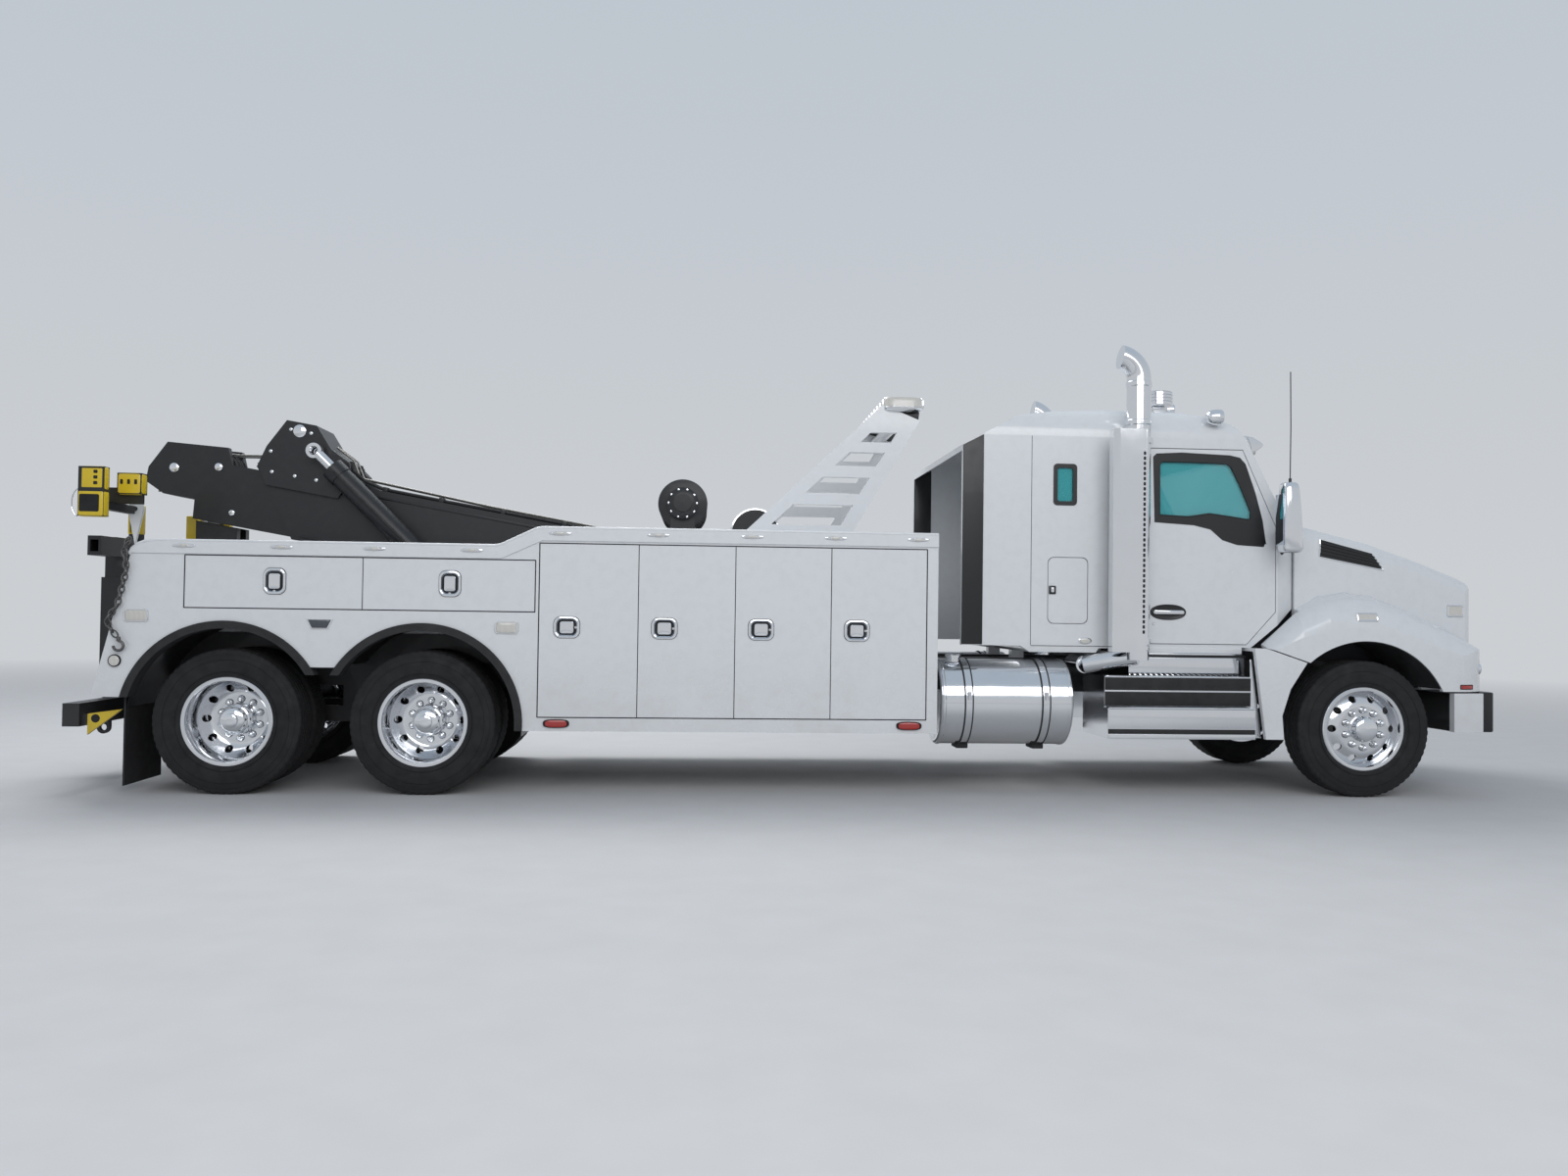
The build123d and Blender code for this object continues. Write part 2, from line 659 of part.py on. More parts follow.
cab_door_outline = (
    (door_rear_x, cab_floor_z + 20), (door_cut_x, cab_floor_z + 20), (door_front_x, door_cut_z),
    (door_front_x, door_pillar_z - 60), (door_pillar_x, door_top_z), (door_rear_x, door_top_z),
)
door_window = (
    (door_rear_x + 45, window_bottom_rear_z), (door_front_x - 330, window_bottom_rear_z - 10),
    (door_front_x - 190, window_bottom_front_z), (door_front_x - 75, window_bottom_front_z),
    (door_pillar_x - 20, door_top_z - 75), (door_rear_x + 45, door_top_z - 75),
)
sleeper_side = (
    (extender_rear_x, sleeper_bottom_z + 14), (front_axle_x - 2640, sleeper_bottom_z + 14),
    (front_axle_x - 2563, sleeper_bottom_z - 34), (front_axle_x - 2052, sleeper_bottom_z - 34),
    (front_axle_x - 2030, sleeper_bottom_z), (cab_rear_x, sleeper_bottom_z), (cab_rear_x, roof_z), *sleeper_roof,
)
sleeper_inside = (
    (sleeper_rear_x + cab_wall, sleeper_bottom_z + cab_wall), (cab_rear_x + cab_wall, sleeper_bottom_z + cab_wall),
    (cab_rear_x + cab_wall, roof_z - cab_wall), (sleeper_roof[0][0], sleeper_roof[0][1] - cab_wall),
    (sleeper_rear_x + cab_wall, sleeper_roof[1][1] - cab_wall),
)
roof_plate_z = 1.15 * extender_plate
sleeper_recess = (
    (extender_rear_x - 1, sleeper_bottom_z - 50), (sleeper_rear_x, sleeper_bottom_z - 50),
    (sleeper_rear_x, sleeper_roof[1][1] - roof_plate_z), (sleeper_roof[1][0], sleeper_roof[1][1] - roof_plate_z),
    (extender_rear_x - 1, sleeper_roof[2][1] - roof_plate_z),
)

with BuildPart() as cab_hollow:
    cab_form(cab_wall, cab_rear_x - 100)

with BuildPart() as cab_shell:
    cab_form(0, cab_rear_x)
    add(cab_hollow.part, mode=Mode.SUBTRACT)
    for _, side in SIDES:
        side_slab(cab_door_outline, spans(side, cab_half_width - door_leaf - seat_gap, cab_half_width + 10),
                  mode=Mode.SUBTRACT)
        side_slab(cab_door_outline, spans(side, cab_half_width - 2 * cab_wall, cab_half_width), mode=Mode.SUBTRACT,
                  inset=door_lap)
        quarter = ((front_axle_x - 878, 1102), (front_axle_x - 790, 440), (front_axle_x - 650, 440),
                   (front_axle_x - 664, 620), (front_axle_x - 600, 820), (front_axle_x - 470, 1020),
                   (front_axle_x - 770, 1120), (front_axle_x - 800, cab_floor_z))
        side_slab(quarter, spans(side, fender_half_width - fender_skin, fender_half_width))
        block((front_axle_x - 878, front_axle_x - 800), spans(side, cab_half_width - 100, fender_half_width),
              (cab_floor_z - 24, cab_floor_z))
        side_slab(((front_axle_x - 878, cab_floor_z - 24), (front_axle_x - 878, cab_floor_z + 10),
                   (front_axle_x - 860, cab_floor_z + 10), (front_axle_x - 860, cab_floor_z - 24)),
                  spans(side, cab_half_width - 100, cab_half_width - 60))
    for _, side in SIDES:
        block((door_rear_x, door_rear_x + 100), spans(side, rail_outer_y - rail_flange, rail_outer_y),
              (rail_top_z, cab_floor_z + 5))
    screen_along = Vector(screen_top_x - screen_base_x, 0, screen_top_z - screen_base_z)
    screen_plane = Plane(origin=((screen_base_x + screen_top_x) / 2, 0, (screen_base_z + screen_top_z) / 2),
                         x_dir=(0, 1, 0), z_dir=screen_along.cross(Vector(0, -1, 0)))
    screen_height = screen_along.length - 2 * screen_margin
    with BuildSketch(screen_plane) as screen:
        Rectangle(2 * screen_half_width, screen_height)
        fillet(screen.vertices(), radius=60)
    extrude(screen.sketch, amount=200, both=True, mode=Mode.SUBTRACT)
save(cab_shell, "cab_shell")

with BuildPart() as sleeper_hollow:
    side_slab(sleeper_inside, (-sleeper_half_width, sleeper_half_width))
    inner_front = rounded_front(sleeper_half_width, sleeper_bottom_z - 200, roof_z, cab_wall)
    extrude(inner_front.moved(Location((sleeper_rear_x, 0, 0))), amount=cab_rear_x + cab_wall - sleeper_rear_x,
            mode=Mode.INTERSECT)

with BuildPart() as sleeper_back:
    side_slab(sleeper_recess, (-sleeper_half_width, sleeper_half_width))
    back_front = rounded_front(sleeper_half_width, sleeper_bottom_z - 200, roof_z, extender_plate)
    extrude(back_front.moved(Location((extender_rear_x - 1, 0, 0))), amount=sleeper_rear_x - extender_rear_x + 1,
            mode=Mode.INTERSECT)

with BuildPart() as sleeper_shell:
    side_slab(sleeper_side, (-sleeper_half_width, sleeper_half_width))
    outer_front = rounded_front(sleeper_half_width, sleeper_bottom_z - 200, roof_z, 0)
    extrude(outer_front.moved(Location((extender_rear_x, 0, 0))), amount=cab_rear_x - extender_rear_x,
            mode=Mode.INTERSECT)
    add(sleeper_hollow.part, mode=Mode.SUBTRACT)
    add(sleeper_back.part, mode=Mode.SUBTRACT)
    for _, side in SIDES:
        luggage_inner = spans(side, sleeper_half_width - door_leaf - seat_gap, sleeper_half_width + 10)
        block(luggage_span_x, luggage_inner, luggage_span_z, mode=Mode.SUBTRACT)
        block((luggage_span_x[0] + door_lap, luggage_span_x[1] - door_lap),
              spans(side, sleeper_half_width - 2 * cab_wall, sleeper_half_width),
              (luggage_span_z[0] + door_lap, luggage_span_z[1] - door_lap), mode=Mode.SUBTRACT)
        block(side_window_x, spans(side, sleeper_half_width - 2 * cab_wall, sleeper_half_width + 10), side_window_z,
              mode=Mode.SUBTRACT)
        block((sleeper_rear_x + 60, sleeper_rear_x + 160), spans(side, rail_outer_y - rail_flange, rail_outer_y),
              (rail_top_z, sleeper_bottom_z))
save(sleeper_shell, "sleeper_shell")

# Fixed glass: the windscreen and the sleeper's side windows, each held in its opening
with BuildPart() as fixed_glass:
    with BuildSketch(screen_plane.offset(-glass_thickness - 12)) as screen:
        Rectangle(2 * screen_half_width - 2 * seat_gap, screen_height - 2 * seat_gap)
        fillet(screen.vertices(), radius=60)
    extrude(screen.sketch, amount=glass_thickness)
    for _, side in SIDES:
        block((side_window_x[0] + seat_gap, side_window_x[1] - seat_gap),
              spans(side, sleeper_half_width - 20, sleeper_half_width - 20 + glass_thickness),
              (side_window_z[0] + seat_gap, side_window_z[1] - seat_gap))
save(fixed_glass, "fixed_glass")

# Seats: a cushion, a back and a pedestal for the driver and the passenger
seat_front_x = front_axle_x - 960
seat_depth = 500
seat_half = 260
seat_y = 560
with BuildPart() as seats:
    for _, side in SIDES:
        seat_span_y = (side * seat_y - seat_half, side * seat_y + seat_half)
        block((seat_front_x - seat_depth, seat_front_x), seat_span_y, (1560, 1700))
        side_slab(((seat_front_x - seat_depth + 20, 1700), (seat_front_x - seat_depth - 120, 2330),
                   (seat_front_x - seat_depth - 240, 2330), (seat_front_x - seat_depth - 110, 1600),
                   (seat_front_x - seat_depth, 1600), (seat_front_x - seat_depth, 1700)), seat_span_y)
        block((seat_front_x - seat_depth + 60, seat_front_x - 60), (side * seat_y - 180, side * seat_y + 180),
              (cab_floor_z + cab_wall, 1560))
save(seats, "seats")

# Dashboard with the steering column and wheel
dash_half_width = 850
with BuildPart() as dashboard:
    dash_front_x = cowl_x - cab_wall - 2
    side_slab(((dash_front_x, 1500), (dash_front_x, 1920), (dash_front_x - 60, 2000), (dash_front_x - 260, 1950),
               (dash_front_x - 220, 1600)), (-dash_half_width, dash_half_width))
    wheel_foot = (dash_front_x - 235, 560, 1800)
    wheel_top = (dash_front_x - 420, 560, 1930)
    rod_between(wheel_foot, wheel_top, 30)
    wheel_plane = Plane(origin=wheel_top, z_dir=Vector(*wheel_top) - Vector(*wheel_foot))
    with BuildSketch(wheel_plane) as ring:
        Circle(225)
        Circle(198, mode=Mode.SUBTRACT)
        with PolarLocations(0, 3):
            Rectangle(44, 206, align=(Align.CENTER, Align.MIN))
    extrude(ring.sketch, amount=26)
    block((dash_front_x, cowl_x - cab_wall), (-200, 200), (1600, 1700))
save(dashboard, "dashboard")

# Cab doors with their glass, and the luggage doors: each fills its opening and laps the frame behind it
for side_name, side in SIDES:
    with BuildPart() as cab_door:
        side_slab(cab_door_outline, spans(side, cab_half_width - door_leaf, cab_half_width), inset=swing_gap)
        side_slab(door_window, spans(side, cab_half_width - 2 * cab_wall, cab_half_width + 10), mode=Mode.SUBTRACT)
    save(cab_door, f"cab_door_{side_name}")

    with BuildPart() as door_glass:
        side_slab(door_window, spans(side, cab_half_width - 26, cab_half_width - 26 + glass_thickness),
                  inset=seat_gap)
    save(door_glass, f"door_glass_{side_name}")

    with BuildPart() as luggage_door:
        block((luggage_span_x[0] + swing_gap, luggage_span_x[1] - swing_gap),
              spans(side, sleeper_half_width - door_leaf, sleeper_half_width),
              (luggage_span_z[0] + swing_gap, luggage_span_z[1] - swing_gap))
        fillet(luggage_door.edges().filter_by(Axis.Y), radius=45)
    save(luggage_door, f"luggage_door_{side_name}")

# Roof fittings: the visor over the screen, beacons and work lamps on the roof
beacon_x = front_axle_x - 1391
beacon_y = 560
beacon_radius = 116
beacon_z = (3052, 3172)
rail_bar_z = (3024, 3053)
foot_half = 32
work_lamp_x = (front_axle_x - 1240, front_axle_x - 1160)
work_lamp_y = 300
work_lamp_z = 3078
work_lamp_radius = 46
spot_x = (front_axle_x - 1210, front_axle_x - 1090)
spot_radius = 62
spot_reach = (242.5, 262, 315)
spot_angle = 32
roof_corner = (cab_half_width - 2.2 * roof_round, roof_z - 2.2 * roof_round)
roof_fall = (roof_z - roof_front_z) / (roof_front_x - roof_flat_x)
visor_seat_x = (front_axle_x - 885, front_axle_x - 918)
brow_slope = (brow_z - screen_top_z) / (brow_x - screen_top_x)
visor_seat = [(x + 1.15 * seat_gap, screen_top_z + brow_slope * (x - screen_top_x)) for x in visor_seat_x]
visor_edge = ((front_axle_x - 754, 2772), (front_axle_x - 676, 2722), (front_axle_x - 684, 2694),
              (front_axle_x - 765, 2640), (front_axle_x - 795, 2652), (front_axle_x - 800, 2672))
with BuildPart() as roof_fittings:
    side_slab((*visor_seat, *visor_edge), (-900, 900))
    for _, side in SIDES:
        with Locations((beacon_x, side * beacon_y, (beacon_z[0] + beacon_z[1]) / 2)):
            Cylinder(beacon_radius, beacon_z[1] - beacon_z[0])
        foot = [(x, roof_front_z + roof_fall * (roof_front_x - x) + seat_gap)
                for x in (beacon_x - foot_half, beacon_x + foot_half)]
        side_slab((*foot, (beacon_x + foot_half, rail_bar_z[0] + 1), (beacon_x - foot_half, rail_bar_z[0] + 1)),
                  spans(side, beacon_y - foot_half, beacon_y + foot_half))
        lamp_y = side * work_lamp_y
        block((beacon_x, work_lamp_x[1] - foot_half), (lamp_y - 12, lamp_y + 12), rail_bar_z)
        rod_between((work_lamp_x[0], lamp_y, work_lamp_z), (work_lamp_x[1], lamp_y, work_lamp_z), work_lamp_radius)
        across, up = cos(radians(spot_angle)), sin(radians(spot_angle))
        seat, stem, centre = ((side * (roof_corner[0] + reach * across), roof_corner[1] + reach * up)
                              for reach in spot_reach)
        rod_between((spot_x[0], *centre), (spot_x[1], *centre), spot_radius)
        rod_between(((spot_x[0] + spot_x[1]) / 2, *seat), ((spot_x[0] + spot_x[1]) / 2, *stem), 16)
    block((beacon_x - 50, beacon_x + 50), (-beacon_y - foot_half, beacon_y + foot_half), rail_bar_z)
save(roof_fittings, "roof_fittings")

# Mirrors on arms from the cowl, and the aerial
mirror_x = (front_axle_x - 709, front_axle_x - 541)
mirror_y = (1190, 1350)
mirror_z = (1858, 2377)
mirror_arm_x = mirror_x[1] - 40
mirror_arm_radius = 14
cab_taper = (cab_half_width - cowl_half_width) / (cowl_x - cab_corner_x)
mirror_foot_y = cab_half_width - cab_taper * (mirror_arm_x - mirror_arm_radius - cab_corner_x) + seat_gap
with BuildPart() as mirrors:
    for _, side in SIDES:
        block(mirror_x, spans(side, *mirror_y), mirror_z)
        for arm_z in (mirror_z[0] + 20, mirror_z[0] + 50):
            rod_between((mirror_arm_x, side * mirror_foot_y, arm_z), (mirror_arm_x, side * mirror_y[1], arm_z),
                        mirror_arm_radius)
    rod_between((mirror_x[1] - 15, -1270, mirror_z[1]), (mirror_x[1] - 15, -1270, 3218), 6)
save(mirrors, "mirrors")

# Tool body: two banks of compartments joined by the deck, with arches over the rear wheels
body_outline = (
    (body_rear_bottom_x, body_rear_bottom_z), (body_rear_top_x, body_corner_z),
    (body_rear_top_x + 60, body_low_z - 35), (body_corner_x, body_low_z), (ramp_x[0], body_low_z),
    (ramp_x[1], body_high_z), (body_front_x, body_high_z), (body_front_x, body_bottom_z),
    (rear_axle_xs[0][1] + arch_radius, body_bottom_z), (rear_axle_xs[0][1], wheel_centre_z),
    (rear_axle_xs[0][1], arch_valley_z), (rear_axle_xs[1][1], arch_valley_z),
    (rear_axle_xs[1][1], body_rear_bottom_z),
)
with BuildPart() as body_shell:
    for _, side in SIDES:
        bank_y = spans(side, body_inner_y, body_half_width)
        side_slab(body_outline, bank_y)
        for _, axle_x in rear_axle_xs:
            side_disc(axle_x, wheel_centre_z, arch_radius, bank_y, mode=Mode.SUBTRACT)
        outer_y = spans(side, body_half_width - door_plate - seat_gap, body_half_width + 10)
        inner_y = spans(side, body_half_width - compartment_depth, body_half_width)
        for rear_x, front_x in zip(tall_door_xs, tall_door_xs[1:]):
            block((rear_x, front_x), outer_y, tall_door_z, mode=Mode.SUBTRACT)
            block((rear_x + door_lap, front_x - door_lap), inner_y, (tall_door_z[0] + door_lap,
                  tall_door_z[1] - door_lap), mode=Mode.SUBTRACT)
        inner_y = spans(side, body_half_width - lid_compartment_depth, body_half_width)
        for rear_x, front_x in zip(lid_xs, lid_xs[1:]):
            block((rear_x, front_x), outer_y, lid_z, mode=Mode.SUBTRACT)
            block((rear_x + door_lap, front_x - door_lap), inner_y, (lid_z[0] + door_lap, lid_z[1] - door_lap),
                  mode=Mode.SUBTRACT)
        side_slab(((body_rear_top_x - 20, body_low_z - body_rail_height), (body_rear_top_x + 60, body_low_z - 35),
                   (body_corner_x, body_low_z), (ramp_x[0], body_low_z), (ramp_x[1], body_high_z),
                   (body_front_x, body_high_z), (body_front_x, body_high_z - body_rail_height),
                   (ramp_x[1] + 20, body_high_z - body_rail_height), (ramp_x[0] + 20, body_low_z - body_rail_height)),
                  spans(side, body_half_width - 20, body_half_width + body_rail_proud))
    block((body_rear_bottom_x + 60, body_front_x), (-body_inner_y - 1, body_inner_y + 1), (deck_z, deck_z + deck_plate))
    block((body_front_x - deck_plate, body_front_x), (-body_inner_y - 1, body_inner_y + 1), (deck_z, body_high_z - 60))
    for _, side in SIDES:
        for post_x in (body_front_x - 300, tandem_x, body_rear_bottom_x + 160):
            block((post_x - 60, post_x + 60), spans(side, rail_outer_y - rail_flange, rail_outer_y),
                  (rail_top_z, deck_z + 10))
save(body_shell, "body_shell")

# Doors and lids of the tool body
for side_name, side in SIDES:
    leaf_y = spans(side, body_half_width - door_plate, body_half_width)
    for number, (rear_x, front_x) in enumerate(zip(tall_door_xs, tall_door_xs[1:]), start=1):
        with BuildPart() as body_door:
            block((rear_x + door_gap, front_x - door_gap), leaf_y, (tall_door_z[0] + door_gap,
                  tall_door_z[1] - door_gap))
        save(body_door, f"body_door_{side_name}_{number}")
    for number, (rear_x, front_x) in enumerate(zip(lid_xs, lid_xs[1:]), start=1):
        with BuildPart() as body_lid:
            block((rear_x + door_gap, front_x - door_gap), leaf_y, (lid_z[0] + door_gap, lid_z[1] - door_gap))
        save(body_lid, f"body_lid_{side_name}_{number}")

# Wheel flares round the arches, and the mudflaps behind the rear wheels
with BuildPart() as wheel_flares:
    for _, side in SIDES:
        flare_y = spans(side, body_half_width - flare_depth, body_half_width + flare_proud)
        for _, axle_x in rear_axle_xs:
            side_disc(axle_x, wheel_centre_z, arch_radius - seat_gap, flare_y)
        for _, axle_x in rear_axle_xs:
            side_disc(axle_x, wheel_centre_z, arch_radius - flare_band, flare_y, mode=Mode.SUBTRACT)
        block((rear_axle_xs[1][1] - 2 * arch_radius, rear_axle_xs[1][1]), flare_y, (-400, body_rear_bottom_z),
              mode=Mode.SUBTRACT)
        block((rear_axle_xs[1][1], rear_axle_xs[0][1]), flare_y, (-400, arch_valley_z - flare_band),
              mode=Mode.SUBTRACT)
        block((rear_axle_xs[0][1], rear_axle_xs[0][1] + 2 * arch_radius), flare_y, (-400, body_bottom_z),
              mode=Mode.SUBTRACT)
        flap_x = rear_axle_xs[1][1] - arch_radius + flap_inset
        block((flap_x, flap_x + flap_plate), spans(side, body_inner_y + 20, body_half_width - flare_depth + 10),
              (flap_bottom_z, body_rear_bottom_z - seat_gap))
save(wheel_flares, "wheel_flares")

# Light pylon: two ladder frames that lean forward from the body's top, joined by a cross tube
with BuildPart() as light_pylon:
    for _, side in SIDES:
        frame_y = spans(side, pylon_y - pylon_plate / 2, pylon_y + pylon_plate / 2)
        outer = ((pylon_rear_foot_x, body_high_z), pylon_top_rear, pylon_top_front, (pylon_front_foot_x, body_high_z))
        side_slab(outer, frame_y)
        for low_z, high_z in pylon_windows:
            points = []
            for foot_x, top, step in ((pylon_rear_foot_x, pylon_top_rear, pylon_member * 1.5),
                                      (pylon_front_foot_x, pylon_top_front, -pylon_member * 1.3)):
                slope = (top[0] - foot_x) / (top[1] - body_high_z)
                for z in (low_z, high_z):
                    points.append((foot_x + slope * (z - body_high_z) + step, z))
            side_slab((points[0], points[1], points[3], points[2]), frame_y, mode=Mode.SUBTRACT)
    rod_between((pylon_top_front[0] - 180, -pylon_y, pylon_top_front[1] - 20),
                (pylon_top_front[0] - 180, pylon_y, pylon_top_front[1] - 20), 45)
save(light_pylon, "light_pylon")

# Light bar across the top of the pylon
with BuildPart() as light_bar:
    bar_plane = Plane(origin=((pylon_top_rear[0] + pylon_top_front[0]) / 2, light_bar_half_length,
                              (pylon_top_rear[1] + pylon_top_front[1]) / 2),
                      x_dir=(pylon_top_front[0] - pylon_top_rear[0], 0, pylon_top_front[1] - pylon_top_rear[1]),
                      z_dir=(0, -1, 0))
    bar_width = hypot(pylon_top_front[0] - pylon_top_rear[0], pylon_top_front[1] - pylon_top_rear[1])
    with BuildSketch(bar_plane) as section:
        Rectangle(bar_width - 20, light_bar_height, align=(Align.CENTER, Align.MIN))
        fillet(section.vertices().group_by(Axis.Z)[-1], radius=25)
    extrude(section.sketch, amount=2 * light_bar_half_length)
save(light_bar, "light_bar")

# Boom mount: the tower that carries the boom's pivot, and the feet of the lift cylinders
deck_top_z = deck_z + deck_plate
rise = radians(boom_rise)
rest_low = boom_low + boom_wall + boom_slide_gap - boom_rest_gap
with BuildPart() as boom_mount:
    for _, side in SIDES:
        tower_y = spans(side, boom_width / 2 + swing_gap, boom_width / 2 + 46)
        side_slab(((boom_pivot_x - 420, deck_top_z), (boom_pivot_x - 110, boom_pivot_z + 110),
                   (boom_pivot_x + 110, boom_pivot_z + 110), (boom_pivot_x + 420, deck_top_z)), tower_y)
        for ear_y in (lift_y - lift_eye_width / 2 - 24, lift_y + lift_eye_width / 2 + 2):
            side_slab(((lift_foot_x - 200, deck_top_z), (lift_foot_x - 55, lift_foot_z + 55),
                       (lift_foot_x + 55, lift_foot_z + 55), (lift_foot_x + 200, deck_top_z)),
                      spans(side, ear_y, ear_y + 22))
        rod_between((lift_foot_x, side * (lift_y - lift_eye_width / 2 - 24), lift_foot_z),
                    (lift_foot_x, side * (lift_y + lift_eye_width / 2 + 24), lift_foot_z), lift_pin_radius)
        # Winch stands on the outside of the tower
        block((winch_x - 150, winch_x + 150), spans(side, winch_span_y[0], body_inner_y - 20),
              (deck_top_z, deck_top_z + 40))
        for stand_y in (winch_span_y[0] - seat_gap - winch_stand, winch_span_y[1] + seat_gap):
            side_slab(((winch_x - 170, deck_top_z), (winch_x - 80, winch_z + 30), (winch_x + 80, winch_z + 30),
                       (winch_x + 170, deck_top_z)), spans(side, stand_y, stand_y + winch_stand))
        # Rest under the boom's head
        rest_top = [boom_pivot_z + rest_low * cos(rise) + sin(rise) / cos(rise) * (boom_pivot_x - x + rest_low * sin(rise))
                    for x in boom_rest_x]
        side_slab(((boom_rest_x[0], deck_top_z), (boom_rest_x[0], rest_top[0]), (boom_rest_x[1], rest_top[1]),
                   (boom_rest_x[1], deck_top_z)), spans(side, *boom_rest_y))
    rod_between((boom_pivot_x, -boom_width / 2 - 46, boom_pivot_z), (boom_pivot_x, boom_width / 2 + 46, boom_pivot_z),
                boom_pin_radius)
save(boom_mount, "boom_mount")

# Winches: two drums beside the boom's pivot, and a hose reel behind the pylon
with BuildPart() as winches:
    for _, side in SIDES:
        low_y, high_y = spans(side, winch_span_y[0], winch_span_y[1])
        side_disc(winch_x, winch_z, winch_drum_radius, (low_y, high_y))
        side_disc(winch_x, winch_z, winch_flange_radius, (low_y, low_y + winch_flange))
        side_disc(winch_x, winch_z, winch_flange_radius, (high_y - winch_flange, high_y))
save(winches, "winches")

# The boom's own side view: along the boom from its pivot, and square to it
boom_side = Plane(origin=(boom_pivot_x, 0, boom_pivot_z), z_dir=(0, 1, 0),
                  x_dir=(-cos(radians(boom_rise)), 0, sin(radians(boom_rise))))


def boom_slab(points, half_width, mode=Mode.ADD):
    """A solid with an outline in the boom's side view, centred across the boom."""
    with BuildSketch(boom_side.offset(-half_width)) as outline:
        with BuildLine():
            Polyline(*points, close=True)
        make_face()
    extrude(outline.sketch, amount=2 * half_width, mode=mode)


def boom_disc(along, up, radius, y_span, mode=Mode.ADD):
    """A disc square to the boom's side view, between two Y values."""
    with BuildSketch(boom_side.offset(min(y_span))) as outline:
        with Locations((along, up)):
            Circle(radius)
    extrude(outline.sketch, amount=max(y_span) - min(y_span), mode=mode)


def boom_box(along, up, half_width, mode=Mode.ADD):
    """A box in the boom's side view between two values along it and two across it."""
    boom_slab(((along[0], up[0]), (along[1], up[0]), (along[1], up[1]), (along[0], up[1])), half_width, mode)


with BuildPart() as boom_outer:
    boom_slab(((-boom_tail, boom_tail_low + 80), (-boom_tail + 80, boom_tail_low), (boom_taper_s[0], boom_tail_low),
               (boom_taper_s[1], boom_low), (boom_reach - boom_slant, boom_low), (boom_reach, boom_high),
               (-boom_tail + 80, boom_high), (-boom_tail, boom_high - 80)), boom_width / 2)
    boom_slab(((boom_tail, boom_tail_low + boom_wall), (boom_taper_s[0], boom_tail_low + boom_wall),
               (boom_taper_s[1], boom_low + boom_wall), (boom_reach + 1, boom_low + boom_wall),
               (boom_reach + 1, boom_high - boom_wall), (boom_tail, boom_high - boom_wall)),
              boom_width / 2 - boom_wall, mode=Mode.SUBTRACT)
    boom_slab(((2680, boom_high - 1), (2723, 384), (2887, 466), (3031, 628), (3265, 627), (3380, 393),
               (boom_reach - 5, boom_high - 1)), boom_width / 2 + 35)
    boom_slab(((2760, 90), (2690, 250), (boom_reach - 5, 250), (3330, 90)), boom_width / 2 + 35)
    boom_box((2640, boom_reach + 1), (boom_low + boom_wall, boom_high - boom_wall), boom_width / 2 - boom_wall,
             mode=Mode.SUBTRACT)
    for side_y in ((-boom_width / 2 - 55, -boom_width / 2 - 35), (boom_width / 2 + 35, boom_width / 2 + 55)):
        boom_disc(lift_top_s, lift_top_t, 50, side_y)
    boom_disc(0, 0, boom_pin_radius + running_fit, (-boom_width, boom_width), mode=Mode.SUBTRACT)
save(boom_outer, "boom_outer")

inner_low = boom_low + boom_wall + boom_slide_gap
inner_high = boom_high - boom_wall - boom_slide_gap
inner_half_width = boom_width / 2 - boom_wall - boom_slide_gap
head_outline = ((head_start, inner_low), (head_lip[0], inner_low), (head_lip[0] + 15, head_lip[1]),
                (4110, head_lip[1]), (head_end, -56), (head_end, 60), (4156, 282), (3687, 325), (3632, inner_high),
                (head_start, inner_high))
sheave_places = ((4065, 90, 130), (3730, 160, 110))
with BuildPart() as boom_inner:
    boom_box((inner_tail, head_start), (inner_low, inner_high), inner_half_width)
    boom_box((inner_tail + 40, head_start), (inner_low + boom_wall, inner_high - boom_wall),
             inner_half_width - boom_wall, mode=Mode.SUBTRACT)
    pad_reach = boom_slide_gap - seat_gap
    boom_box((inner_tail, inner_tail + 120), (inner_low - pad_reach, inner_high + pad_reach),
             inner_half_width + pad_reach)
    boom_slab(head_outline, inner_half_width)
    boom_box((head_start + 60, head_end + 10), (-60, 340), 110, mode=Mode.SUBTRACT)
    for sheave_s, sheave_t, sheave_radius in sheave_places:
        for sheave_y in ((-100, -20), (20, 100)):
            boom_disc(sheave_s, sheave_t, sheave_radius, sheave_y)
        boom_disc(sheave_s, sheave_t, 0.3 * sheave_radius, (-inner_half_width, inner_half_width))
save(boom_inner, "boom_inner")

# Lift cylinders: barrels that swing at their feet, and rods that slide in them
lift_top_x = boom_pivot_x - lift_top_s * cos(radians(boom_rise)) + lift_top_t * sin(radians(boom_rise))
lift_top_z = boom_pivot_z + lift_top_s * sin(radians(boom_rise)) + lift_top_t * cos(radians(boom_rise))
lift_closed = hypot(lift_top_x - lift_foot_x, lift_top_z - lift_foot_z)
lift_along = ((lift_top_x - lift_foot_x) / lift_closed, (lift_top_z - lift_foot_z) / lift_closed)
barrel_length = lift_closed - 190


def lift_point(along, side):
    """A point on a lift cylinder's axis, at a distance from its foot."""
    return (lift_foot_x + along * lift_along[0], side * lift_y, lift_foot_z + along * lift_along[1])


